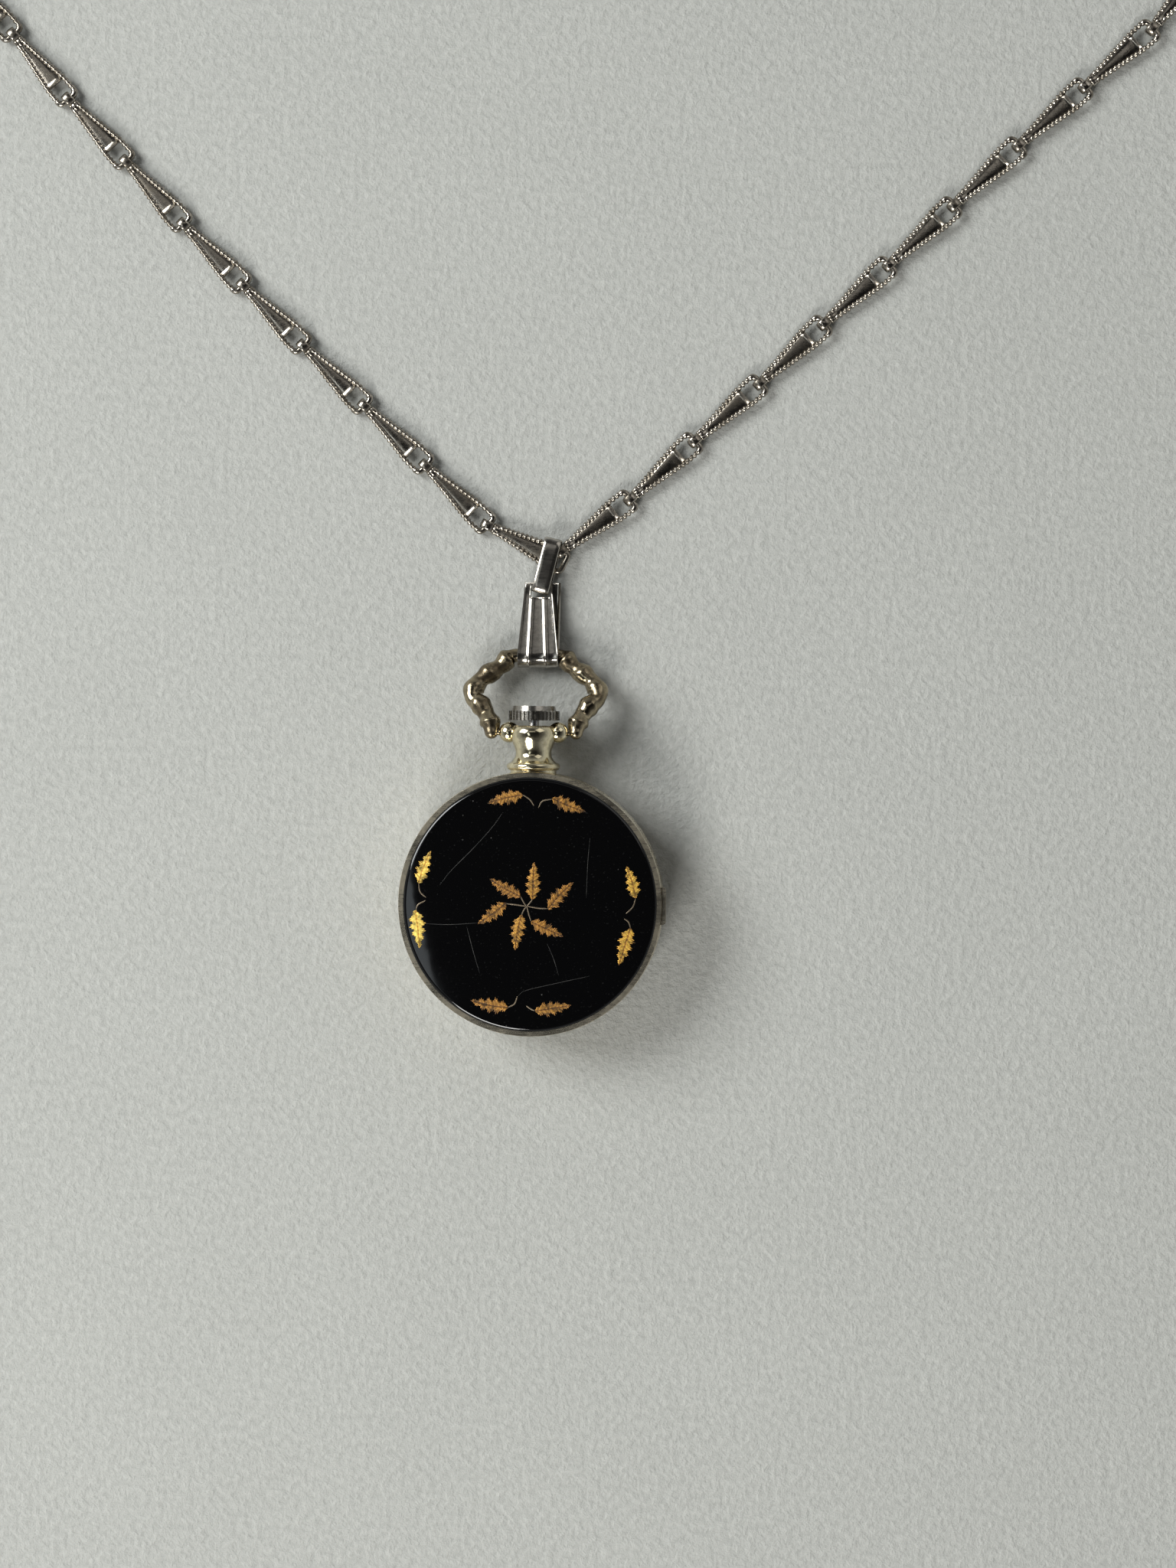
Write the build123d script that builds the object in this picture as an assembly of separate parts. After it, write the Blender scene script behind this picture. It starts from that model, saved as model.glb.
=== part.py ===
from build123d import *
from math import atan2, cos, degrees, hypot, pi, radians, sin, sqrt
import os

# A small mechanical pendant watch that lies dial down, its enamelled back up, with its chain spread out.
# The origin is the centre of the crystal's flat face, +Y points to the crown and +Z up through the back.

# Angles, in degrees
full_turn = 360
half_turn = 180
quarter_turn = 90

# Case
movement_diameter = 17.6
casing_width = 2.0
band_wall = 1.2
case_bulge = 0.15
band_bottom = 2.0
rabbet_depth = 0.6
rabbet_width = 0.65
snap_gap = 0.02
cut_over = 0.5

# Crystal and bezel
crystal_diameter = 18.4
crystal_slope = 1.0
crystal_edge = 1.2
crystal_thick = 0.6
crystal_shoulder = 0.75
crystal_lip = 0.5
bezel_bottom = 0.45
bezel_mouth = 0.25
bezel_shelf = 0.4
bezel_to_dial = 0.02

# Heights of the movement's layers, from the dial up
hand_room = 1.1
dial_thick = 0.3
dial_overhang = 0.5
motion_room = 0.4
plate_thick = 0.8
train_room = 1.3
bridge_thick = 0.5
winding_thick = 0.25
cover_room = 0.3

# Movement plan
rim_width = 0.65
ring_gap = 0.05
gear_gap = 0.03
foot_angle = 11

# Rear cover, enamel and leaves
cover_thick = 0.35
rim_wall = 0.5
enamel_edge = 0.4
enamel_rise = 0.5
enamel_gap = 0.01
foil_thick = 0.03
lip_width = 3.4
lip_reach = 0.3
lip_height = 0.5

# Pendant neck, its reaches measured out from the case's edge
neck_inset = 0.7
neck_bead_radius = 2.45
neck_bead_reach = 0.8
neck_bead_round = 0.35
neck_waist_radius = 1.65
neck_waist_reach = 1.9
neck_cup_radius = 2.15
neck_cup_reach = 3.2
neck_top_radius = 1.9
neck_reach = 4.15
ear_radius = 0.95
ear_offset = 2.24
ear_reach = 3.55

# Crown, gasket and winding stem
crown_radius = 2.35
crown_gap = 0.5
crown_knurl_length = 0.85
crown_top_length = 0.45
crown_top_radius = 1.93
crown_flutes = 36
crown_flute_depth = 0.14
crown_recess_radius = 1.3
crown_recess_depth = 0.4
gasket_inner_radius = 0.55
gasket_thick = 0.3
stem_radius = 0.5
stem_step_radius = 0.4
stem_pilot_radius = 0.25
stem_gap = 0.05
stem_tip_inset = 2.4
stem_pilot_inset = 2.1
stem_step_reach = 1.3
stem_grip = 0.5
stem_groove_inset = 1.95
stem_groove_width = 0.3
stem_groove_depth = 0.12

# Bow
bow_pin_radius = 0.3
bow_pin_gap = 0.04
bow_pin_inset = 2.75
bow_pin_seam = 37
bow_length = 7.6
bow_droop = 22.8
bow_wire_radius = 0.63
bow_knob_radius = 0.71
bow_half_width = 5.68
bow_side_shares = [
    (0.13, 1.0), (0.39, 1.0), (0.57, 0.885), (0.72, 0.785), (0.89, 0.685), (1.0, 0.56),
    (0.99, 0.44), (0.88, 0.345), (0.77, 0.235), (0.70, 0.11), (0.68, 0.0),
]

# Tapered bail
bail_sheet = 0.35
bail_inner_radius = 0.74
bail_length = 6.75
bail_top_half_gap = 0.1
bail_bottom_width = 3.75
bail_top_width = 2.4
bail_back_top_width = 2.9
bail_back_shift = 0.6
bail_offset = 0.12
bail_tilt = 1.3
bail_turn = 0.45
bail_slot_width = 1.75
bail_slot_height = 1.0
bail_slot_edge = 0.35
bail_slot_offset = 0.18
bail_ridge_width = 0.16
bail_ridge_height = 0.08
bail_ridge_share = 0.2

# Strap loop
strap_width = 1.57
strap_sheet = 0.3
strap_length = 5.25
strap_inner_height = 1.5
strap_corner = 0.45
strap_lean = 14.0

# Chain
chain_pitch = 7.95
link_wide = 2.1
link_narrow = 0.86
link_half_thick = 0.3
link_rail = 0.36
link_panel_half = 0.14
link_bar_radius = 0.3
link_hole_length = 1.5
link_eye_half_length = 0.47
link_eye_half_height = 0.36
link_eye_sheet = 0.2
link_body_start = 0.55
link_height = 0.64
strap_to_chain_x = -4.9737
strap_to_chain_y = 6.1341
pass_heading = -26.0
pass_rise = 2.4
rail_hook_inset = 0.75
left_headings = [136.7, 136.2, 136.1, 135.4, 134.9, 133.1, 133.3, 131.1, 130.5]
right_headings = [37.6, 42.4, 41.8, 43.2, 42.5, 43.0, 43.0, 42.0, 41.0]
rear_left_turn = -10.395
rear_right_turn = 10.269
rear_left_bent = 12
rear_right_bent = 13
rear_left_straight = 2
rear_right_straight = 2
near_group = 4
rear_left_group = 7
rear_right_group = 7

# Spring ring clasp
clasp_ring_radius = 2.4
clasp_wire_radius = 0.5
clasp_eye_radius = 0.85
clasp_eye_wire = 0.26
clasp_eye_shift = 0.15
clasp_mouth_angle = 40
slot_end_angle = 102
bolt_start_angle = 1
bolt_end_angle = 74
knob_angle = 53
clasp_bore_radius = 0.27
trigger_radius = 0.23
trigger_knob_radius = 0.32
trigger_knob_reach = 0.45
end_ring_radius = 1.1
end_ring_wire = 0.3
end_ring_neck = 0.35

# Winding wheels
winding_module = 0.237
winding_pinion_teeth = 12
crown_wheel_teeth = 16
ratchet_teeth = 20
winding_pinion_place = 7.4
winding_pinion_width = 0.45
winding_mesh_depth = 0.16
winding_tooth_height = 0.13
pinion_bore_gap = 0.03
sliding_pinion_radius = 0.95
sliding_pinion_length = 0.75
sliding_groove_radius = 0.65
sliding_groove_width = 0.35
wheel_core_radius = 0.55
window_gap = 0.12
pocket_floor = 0.2

# Going train
barrel_teeth = 72
centre_pinion_teeth = 12
barrel_module = 0.1
centre_teeth = 80
third_pinion_teeth = 10
centre_module = 0.075
third_teeth = 75
fourth_pinion_teeth = 10
third_module = 0.07
fourth_teeth = 70
escape_pinion_teeth = 7
fourth_module = 0.068
escape_teeth = 15
escape_radius = 1.6
escape_root_share = 0.74
escape_lean_share = 0.35
tooth_height_share = 0.9
barrel_angle = 140
third_angle = 15
fourth_angle = -75
escape_angle = -130
wheel_thick = 0.14
wheel_arm_share = 0.16
wheel_rim_share = 0.84
wheel_hub_share = 0.24
arms = 5

# Heights of the train's wheels above the main plate
low_level = 0.15
middle_level = 0.55
high_level = 1.0
barrel_lift = 0.08
barrel_height = 0.78
barrel_rim_height = 0.3
barrel_wall = 0.25
barrel_lid = 0.14
barrel_core_radius = 0.8

# Arbors and jewels
arbor_radius = 0.22
pivot_radius = 0.14
pivot_gap = 0.03
jewel_radius = 0.36
jewel_thick = 0.3
arbor_end_gap = 0.04
centre_arbor_radius = 0.42
centre_post_radius = 0.26
barrel_arbor_radius = 0.5

# Balance and pallets
balance_x = -1.95
balance_y = -4.6
balance_radius = 2.85
balance_rim = 0.3
balance_thick = 0.25
balance_level = 0.68
balance_arm = 0.3
hairspring_turns = 5
hairspring_start = 0.4
hairspring_end = 1.75
hairspring_strip = 0.05
hairspring_height = 0.12
hairspring_level = 1.02
collet_radius = 0.36
roller_radius = 0.42
roller_thick = 0.08
impulse_radius = 0.05
pallet_arbor_share = 0.426
pallet_arm_width = 0.3
pallet_stone_gap = 0.05
pallet_half_span = 52
pallet_bridge_thick = 0.24
pallet_bridge_width = 1.0
pallet_bridge_reach = 2.2

# Motion work under the dial
cannon_teeth = 12
minute_wheel_teeth = 36
minute_pinion_teeth = 10
hour_wheel_teeth = 40
cannon_module = 0.105
minute_wheel_angle = 80
setting_teeth = 20
setting_angle = 62
tube_wall = 0.18
tube_gap = 0.03
low_motion_share = 0.1
low_motion_end_share = 0.42
high_motion_share = 0.52
high_motion_end_share = 0.88
post_radius = 0.2

# Hands
minute_hand_length = 7.2
hour_hand_length = 5.0
minute_hand_width = 0.8
hour_hand_width = 1.1
hand_thick = 0.12
minute_hand_height = 0.95
hour_hand_height = 1.45
hand_hub_radius = 0.85

# Keyless levers
lever_thick_share = 0.7
lever_arm = 0.55
setting_lever_x = -2.6
setting_lever_y = 5.8
yoke_x = 2.4
yoke_y = 6.9
groove_pin_radius = 0.12

# Screws
screw_head_radius = 0.55
screw_head_height = 0.2
screw_shank_radius = 0.3
screw_shank_length = 0.9
screw_slot_width = 0.12
screw_slot_depth = 0.1
case_screw_head_radius = 0.8
case_screw_angles = [10, 190]

# Click
click_x = -6.35
click_y = 5.2
click_radius = 0.5
click_nose_gap = 0.06
click_nose_width = 0.35
click_spring_width = 0.14

# Derived heights
dial_bottom = crystal_edge + hand_room
dial_top = dial_bottom + dial_thick
plate_bottom = dial_top + motion_room
plate_top = plate_bottom + plate_thick
bridge_bottom = plate_top + train_room
bridge_top = bridge_bottom + bridge_thick
winding_top = bridge_top + winding_thick
cover_bottom = winding_top + cover_room
cover_top = cover_bottom + cover_thick
band_top = cover_bottom - snap_gap

# Derived radii
movement_radius = movement_diameter / 2
band_inner = movement_radius + casing_width
case_radius = band_inner + band_wall
case_diameter = 2 * case_radius
rabbet_radius = case_radius - rabbet_width
rim_radius = movement_radius - rim_width
enamel_radius = case_radius - rim_wall
crystal_radius = crystal_diameter / 2
dial_radius = movement_radius + dial_overhang
dome_edge = cover_top + enamel_edge
dome_radius = (enamel_radius ** 2 + enamel_rise ** 2) / (2 * enamel_rise)
dome_centre = dome_edge + enamel_rise - dome_radius
winding_pinion_radius = winding_module * winding_pinion_teeth / 2
crown_wheel_radius = winding_module * crown_wheel_teeth / 2
ratchet_radius = winding_module * ratchet_teeth / 2
stem_z = bridge_top - winding_pinion_radius - winding_tooth_height + winding_mesh_depth / 2

# Derived places along the stem
neck_bead_start = case_radius - neck_inset
neck_bead_end = case_radius + neck_bead_reach
neck_waist_place = case_radius + neck_waist_reach
neck_cup_place = case_radius + neck_cup_reach
neck_top = case_radius + neck_reach
ear_place = case_radius + ear_reach
crown_start = neck_top + crown_gap
crown_knurl_end = crown_start + crown_knurl_length
crown_end = crown_knurl_end + crown_top_length
stem_groove_place = winding_pinion_place - stem_groove_inset
stem_pilot_end = winding_pinion_place - stem_pilot_inset
stem_tip = winding_pinion_place - stem_tip_inset
stem_step_place = winding_pinion_place + stem_step_reach

# Derived places in the movement
barrel_distance = barrel_module * (barrel_teeth + centre_pinion_teeth) / 2
third_distance = centre_module * (centre_teeth + third_pinion_teeth) / 2
fourth_distance = third_module * (third_teeth + fourth_pinion_teeth) / 2
escape_distance = fourth_module * (fourth_teeth + escape_pinion_teeth) / 2
minute_distance = cannon_module * (cannon_teeth + minute_wheel_teeth) / 2
hour_module = 2 * minute_distance / (minute_pinion_teeth + hour_wheel_teeth)
setting_distance = cannon_module * (minute_wheel_teeth + setting_teeth) / 2


def polar(start, distance, angle):
    """The point at a distance and an angle from a start point."""
    return (start[0] + distance * cos(radians(angle)), start[1] + distance * sin(radians(angle)))


def direction(start, end):
    """The angle of the line from one point to another, in degrees."""
    return degrees(atan2(end[1] - start[1], end[0] - start[0]))


centre_at = (0, 0)
barrel_at = polar(centre_at, barrel_distance, barrel_angle)
third_at = polar(centre_at, third_distance, third_angle)
fourth_at = polar(third_at, fourth_distance, fourth_angle)
escape_at = polar(fourth_at, escape_distance, escape_angle)
balance_at = (balance_x, balance_y)
pallet_at = (
    escape_at[0] + pallet_arbor_share * (balance_at[0] - escape_at[0]),
    escape_at[1] + pallet_arbor_share * (balance_at[1] - escape_at[1]),
)
crown_wheel_at = (0, winding_pinion_place - crown_wheel_radius)
minute_wheel_at = polar(centre_at, minute_distance, minute_wheel_angle)
setting_at = polar(minute_wheel_at, setting_distance, setting_angle)
train_jewels = [third_at, fourth_at, escape_at]


def disc(radius, bottom, top, at=(0, 0)):
    """An upright cylinder between two heights."""
    return Pos(at[0], at[1], bottom) * extrude(Circle(radius), top - bottom)


def ring(outer, inner, bottom, top, at=(0, 0)):
    """An upright tube between two heights."""
    return Pos(at[0], at[1], bottom) * extrude(Circle(outer) - Circle(inner), top - bottom)


def block(x0, x1, y0, y1, z0, z1):
    """A box between two corners."""
    centre = Pos((x0 + x1) / 2, (y0 + y1) / 2, (z0 + z1) / 2)
    return centre * Box(x1 - x0, y1 - y0, z1 - z0)


def plate(points, bottom, top):
    """A flat plate with a polygon outline."""
    return Pos(0, 0, bottom) * extrude(make_face(Polyline(*points, close=True)), top - bottom)


def turned(points):
    """A solid of revolution about Z from points of radius and height."""
    outline = Polyline(*[(r, 0, z) for r, z in points], close=True)
    return revolve(make_face(outline), Axis.Z)


def along_stem(radius, start, end, inner=0):
    """A cylinder or tube on the stem's axis between two places along it."""
    section = Circle(radius)
    if inner > 0:
        section = section - Circle(inner)
    return Pos(0, start, stem_z) * Rot(-quarter_turn, 0, 0) * extrude(section, end - start)


def gear_outline(teeth, pitch_radius, height, phase, fill_share=0.34):
    """The outline of a gear whose thin teeth leave room on both sides."""
    pitch = full_turn / teeth
    tip = pitch_radius + height / 2
    root = pitch_radius - height / 2 - gear_gap
    points = []
    for k in range(teeth):
        middle = phase + k * pitch
        for radius, share in (
            (root, -fill_share), (tip, -fill_share / 2), (tip, fill_share / 2), (root, fill_share),
        ):
            points.append(polar((0, 0), radius, middle + share * pitch))
    return make_face(Polyline(*points, close=True))


def meshing(teeth_a, phase_a, towards, teeth_b):
    """The phase that puts a gap of wheel b at a tooth of wheel a, b lying in the given direction from a."""
    turned_share = (phase_a - towards) * teeth_a / full_turn
    return towards + half_turn - (turned_share - 1 / 2) * full_turn / teeth_b


def armed_wheel(teeth, module, phase, bottom, at, bore):
    """A toothed wheel with arms, a rim and a hub."""
    radius = module * teeth / 2
    face = gear_outline(teeth, radius, module * tooth_height_share * 2, phase)
    rim = radius * wheel_rim_share
    window = Circle(rim) - Circle(radius * wheel_hub_share)
    for k in range(arms):
        arm = Rectangle(rim, radius * wheel_arm_share, align=(Align.MIN, Align.CENTER))
        window = window - Rot(0, 0, phase + k * full_turn / arms) * arm
    face = face - window - Circle(bore)
    return Pos(at[0], at[1], bottom) * extrude(face, wheel_thick)


def pinion(teeth, module, phase, bottom, top, at):
    """A solid leaf pinion between two heights."""
    face = gear_outline(teeth, module * teeth / 2, module * tooth_height_share * 2, phase)
    return Pos(at[0], at[1], bottom) * extrude(face, top - bottom)


def arbor(at, radius=arbor_radius):
    """A train arbor with a pivot at each end."""
    body = disc(radius, plate_top + arbor_end_gap, bridge_bottom - arbor_end_gap, at)
    return body + disc(pivot_radius, plate_top - jewel_thick, bridge_bottom + jewel_thick, at)


def band_blank():
    """The case band's outer form, filled solid."""
    edge = case_radius - case_bulge
    middle = (band_bottom + band_top) / 2
    wall = ThreePointArc((edge, 0, band_bottom), (case_radius, 0, middle), (edge, 0, band_top))
    rest = Polyline((edge, 0, band_top), (0, 0, band_top), (0, 0, band_bottom), (edge, 0, band_bottom))
    return revolve(make_face(wall + rest), Axis.Z)


def case_band():
    """The middle of the case, open through, with a rabbet for the cover and one for the bezel."""
    band = band_blank() - disc(band_inner, band_bottom - cut_over, band_top + cut_over)
    band = band - disc(rabbet_radius, band_top - rabbet_depth, band_top + cut_over)
    band = band - disc(rabbet_radius, band_bottom - cut_over, band_bottom + rabbet_depth)
    return band - along_stem(stem_radius + stem_gap, 0, case_diameter)


def bezel():
    """The dial-side rim that holds the crystal and snaps into the band."""
    mouth = crystal_radius + bezel_mouth
    return turned([
        (crystal_radius, crystal_shoulder),
        (mouth, bezel_bottom),
        (mouth + bezel_shelf, bezel_bottom),
        (case_radius - case_bulge, band_bottom),
        (rabbet_radius, band_bottom),
        (rabbet_radius, band_bottom + rabbet_depth),
        (band_inner, band_bottom + rabbet_depth),
        (band_inner, dial_bottom - bezel_to_dial),
        (crystal_radius - bezel_shelf, dial_bottom - bezel_to_dial),
        (crystal_radius - bezel_shelf, crystal_edge),
        (crystal_radius, crystal_edge),
    ])


def crystal():
    """A flat topped glass with a rounded shoulder, hollow towards the hands."""
    flat = crystal_radius - crystal_slope
    shoulder = ThreePointArc(
        (flat, 0, 0),
        ((flat + crystal_radius) / 2, 0, crystal_shoulder * (1 - sqrt(3) / 2) * 2),
        (crystal_radius, 0, crystal_shoulder),
    )
    rest = Polyline(
        (crystal_radius, 0, crystal_shoulder), (crystal_radius, 0, crystal_edge),
        (crystal_radius - crystal_lip, 0, crystal_edge), (flat, 0, crystal_thick), (0, 0, crystal_thick),
        (0, 0, 0), (flat, 0, 0),
    )
    return revolve(make_face(shoulder + rest), Axis.Z)


def dial():
    """The dial with a hole for the hour wheel's tube."""
    return ring(dial_radius, hour_tube_radius + stem_gap, dial_bottom, dial_top)


cannon_bore = centre_post_radius + tube_gap
cannon_tube_radius = cannon_bore + tube_wall
hour_bore = cannon_tube_radius + tube_gap
hour_tube_radius = hour_bore + tube_wall


def movement_ring():
    """The casing ring between the movement and the band, with a way through for the stem."""
    body = ring(band_inner, movement_radius + ring_gap, dial_top, plate_top)
    for at in case_screw_places():
        body = body - disc(screw_shank_radius, plate_top - screw_shank_length, plate_top + cut_over, at)
    return body - along_stem(stem_radius + stem_gap, 0, case_radius)


def pinion_windows(bottom, top):
    """The space that the two pinions on the stem need between two heights."""
    winding_half = winding_pinion_radius + winding_tooth_height + window_gap
    sliding_half = sliding_pinion_radius + window_gap
    winding_end = winding_pinion_place + winding_pinion_width / 2 + window_gap
    winding_start = winding_pinion_place - winding_pinion_width / 2 - window_gap
    sliding_start = winding_start - sliding_pinion_length - 2 * stem_grip
    space = block(-winding_half, winding_half, winding_start, winding_end, bottom, top)
    return space + block(-sliding_half, sliding_half, sliding_start, winding_start, bottom, top)


def main_plate():
    """The plate that carries everything, with a rim that the dial rests on."""
    body = disc(movement_radius, plate_bottom, plate_top)
    body = body + ring(movement_radius, rim_radius, dial_top, plate_bottom)
    body = body - pinion_windows(dial_top - cut_over, plate_top + cut_over)
    body = body - along_stem(stem_radius + stem_gap, stem_tip - stem_grip, case_radius)
    for at in train_jewels + [balance_at, pallet_at]:
        body = body - disc(jewel_radius, plate_bottom - cut_over, plate_top + cut_over, at)
    body = body - disc(centre_arbor_radius + pivot_gap, plate_bottom - cut_over, plate_top + cut_over)
    body = body - disc(
        pivot_radius + pivot_gap + pivot_gap, plate_bottom - cut_over, plate_top + cut_over, barrel_at,
    )
    post_bottom = dial_top + motion_room * low_motion_share
    for at in (minute_wheel_at, setting_at):
        body = body + disc(post_radius, post_bottom, plate_bottom, at)
    for at in (setting_lever_at, yoke_at):
        body = body + disc(post_radius, post_bottom, plate_bottom, at)
    for at in bridge_screw_places():
        body = body - disc(screw_shank_radius, plate_top - screw_shank_length, plate_top + cut_over, at)
    return body


setting_lever_at = (setting_lever_x, setting_lever_y)
yoke_at = (yoke_x, yoke_y)

# Outlines of the bridges, as shares of the movement's radius
barrel_bridge_shares = [(-1, 1), (0.45, 1), (0.30, 0.40), (0.12, -0.12), (-0.35, -0.16), (-1, -0.10)]
train_bridge_shares = [(0.50, 1), (1, 1), (1, -1), (0.22, -1), (0.14, -0.60), (0.14, -0.20), (0.33, 0.38)]
balance_cock_shares = [
    (-1, -0.28), (-0.30, -0.40), (-0.12, -0.50), (-0.16, -0.62), (-0.32, -0.64), (-1, -0.62),
]
barrel_bridge_feet = [115, 165]
train_bridge_feet = [-60, 45]
balance_cock_feet = [207]


def bridge(outline_shares, feet):
    """A bridge of the given outline on feet at its outer edge."""
    outline = [(x * movement_radius, y * movement_radius) for x, y in outline_shares]
    body = plate(outline, bridge_bottom, bridge_top) & disc(
        movement_radius - ring_gap, bridge_bottom, bridge_top,
    )
    for angle in feet:
        wedge = plate(
            [(0, 0), polar((0, 0), case_radius, angle - foot_angle), polar((0, 0), case_radius, angle + foot_angle)],
            plate_top, bridge_bottom,
        )
        foot = ring(movement_radius - ring_gap, rim_radius, plate_top, bridge_bottom) & wedge
        body = body + foot
    return body


def bridge_screw_places():
    """Where the bridge screws stand, over the feet."""
    middle = (movement_radius + rim_radius) / 2 - ring_gap
    return [polar((0, 0), middle, a) for a in barrel_bridge_feet + train_bridge_feet + balance_cock_feet]


def case_screw_places():
    """Where the case screws stand, on the joint of the plate and its ring."""
    return [polar((0, 0), movement_radius + case_screw_head_radius / 2, a) for a in case_screw_angles]


def drilled(body, places):
    """A bridge with its screw holes and jewel holes."""
    for at in bridge_screw_places():
        body = body - disc(screw_shank_radius, plate_top - cut_over, bridge_top + cut_over, at)
        body = body - disc(screw_head_radius, bridge_top - screw_head_height, bridge_top + cut_over, at)
    for at in places:
        body = body - disc(jewel_radius, bridge_bottom - cut_over, bridge_top + cut_over, at)
    return body


def barrel_bridge():
    """The bridge over the barrel and the centre wheel, with a pocket for the crown wheel."""
    body = drilled(bridge(barrel_bridge_shares, barrel_bridge_feet), [centre_at])
    body = body - disc(
        barrel_arbor_radius + pivot_gap, bridge_bottom - cut_over, bridge_top + cut_over, barrel_at,
    )
    pocket = ring(
        crown_wheel_radius + winding_tooth_height + window_gap, wheel_core_radius,
        bridge_bottom + pocket_floor, bridge_top + cut_over, crown_wheel_at,
    )
    body = body - pocket - pinion_windows(plate_top, bridge_top + cut_over)
    return body + disc(click_post_radius, bridge_top, winding_top, click_at)


click_at = (click_x, click_y)
click_post_radius = click_radius / 2


def jewels():
    """Ring jewels in the plate and the bridges, one above and one below each arbor."""
    found = []
    bore = pivot_radius + pivot_gap
    for at in train_jewels + [balance_at, pallet_at]:
        found.append(ring(jewel_radius, bore, plate_top - jewel_thick, plate_top, at))
    for at in train_jewels + [balance_at, centre_at]:
        found.append(ring(jewel_radius, bore, bridge_bottom, bridge_bottom + jewel_thick, at))
    pallet_top = plate_top + low_level + wheel_thick + arbor_end_gap
    found.append(ring(jewel_radius, bore, pallet_top, pallet_top + pallet_bridge_thick, pallet_at))
    return Compound(children=found)


def screw(at, top, head_radius, length):
    """A cheese head screw with a slot, its head's top at the given height."""
    body = disc(head_radius, top - screw_head_height, top, at)
    body = body + disc(screw_shank_radius, top - screw_head_height - length, top, at)
    slot = block(
        -head_radius, head_radius, -screw_slot_width / 2, screw_slot_width / 2, -screw_slot_depth, cut_over,
    )
    return body - Pos(at[0], at[1], top) * slot


def movement_screws():
    """The screws that hold the bridges."""
    length = bridge_thick - screw_head_height + train_room + screw_shank_length / 2
    return Compound(
        children=[screw(at, bridge_top, screw_head_radius, length) for at in bridge_screw_places()]
    )


def case_screws():
    """The screws that clamp the movement to its ring."""
    top = plate_top + screw_head_height
    length = screw_shank_length / 2
    return Compound(children=[screw(at, top, case_screw_head_radius, length) for at in case_screw_places()])


def rear_cover():
    """The snap-on back: a skirt, a floor and the thin rim round the enamel, with a lip to open it by."""
    skirt_radius = rabbet_radius - snap_gap
    round_off = case_bulge / 2
    body = turned([
        (0, cover_bottom), (band_inner, cover_bottom), (band_inner, band_top - rabbet_depth + snap_gap),
        (skirt_radius, band_top - rabbet_depth + snap_gap), (skirt_radius, cover_bottom),
        (case_radius - round_off, cover_bottom), (case_radius, cover_bottom + round_off),
        (case_radius, cover_top), (case_radius - round_off, dome_edge), (enamel_radius, dome_edge),
        (enamel_radius, cover_top), (0, cover_top),
    ])
    lip = block(
        enamel_radius + round_off, case_radius + lip_reach, -lip_width / 2, lip_width / 2,
        cover_bottom, cover_bottom + lip_height,
    )
    lip = fillet(lip.edges().filter_by(Axis.Z).sort_by(Axis.X)[-2:], lip_reach)
    return body + lip


def enamel_plate():
    """The domed black disc set in the cover's rim."""
    edge = enamel_radius - enamel_gap
    rise_here = sqrt(dome_radius ** 2 - edge ** 2) + dome_centre
    half = edge / 2
    arc = ThreePointArc(
        (edge, 0, rise_here), (half, 0, sqrt(dome_radius ** 2 - half ** 2) + dome_centre),
        (0, 0, dome_radius + dome_centre),
    )
    rest = Polyline(
        (0, 0, dome_radius + dome_centre), (0, 0, cover_top), (edge, 0, cover_top), (edge, 0, rise_here),
    )
    return revolve(make_face(arc + rest), Axis.Z)


# Leaves of the inlay: base and tip, as shares of the enamel's radius
whirl_leaf_shares = [
    (0.026, 0.044, 0.037, 0.336), (0.149, -0.03, 0.345, 0.181), (0.017, -0.13, 0.272, -0.244),
    (-0.057, -0.08, -0.106, -0.359), (-0.182, 0.013, -0.404, -0.157), (-0.067, 0.065, -0.314, 0.203),
]
outer_leaf_shares = [
    (-0.062, 0.863, -0.339, 0.792), (0.172, 0.837, 0.435, 0.734), (-0.877, 0.157, -0.782, 0.412),
    (-0.902, -0.055, -0.864, -0.354), (0.834, 0.062, 0.759, 0.313), (0.797, -0.175, 0.708, -0.466),
    (-0.159, -0.81, -0.457, -0.759), (0.052, -0.835, 0.336, -0.785),
]
leaf_side_shares = [
    (0.0, 0.03), (0.08, 0.16), (0.15, 0.30), (0.22, 0.22), (0.30, 0.40), (0.37, 0.46), (0.43, 0.31),
    (0.52, 0.42), (0.60, 0.43), (0.64, 0.26), (0.73, 0.32), (0.80, 0.29), (0.83, 0.16), (0.92, 0.12),
    (1.0, 0.0),
]
leaf_width_share = 0.45


def leaf_face(base, tip):
    """A lobed leaf from its base to its tip."""
    length = hypot(tip[0] - base[0], tip[1] - base[1])
    heading = direction(base, tip)
    side = [(along * length, across * leaf_width_share * length) for along, across in leaf_side_shares]
    points = side + [(x, -y) for x, y in reversed(side[:-1])]
    return Pos(base[0], base[1]) * Rot(0, 0, heading) * make_face(Polyline(*points, close=True))


def leaf_inlays():
    """Thin foil leaves that follow the dome."""
    ball = Pos(0, 0, dome_centre) * Sphere(dome_radius + foil_thick)
    core = Pos(0, 0, dome_centre) * Sphere(dome_radius)
    zone = disc(enamel_radius, dome_edge - cut_over, dome_edge + enamel_rise + cut_over)
    skin = (zone & ball) - core
    found = []
    for x0, y0, x1, y1 in whirl_leaf_shares + outer_leaf_shares:
        base = (x0 * enamel_radius, y0 * enamel_radius)
        tip = (x1 * enamel_radius, y1 * enamel_radius)
        column = Pos(0, 0, dome_edge - cut_over) * extrude(leaf_face(base, tip), 2 * cut_over + enamel_rise)
        found.extend((skin & column).solids())
    return Compound(children=found)


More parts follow.
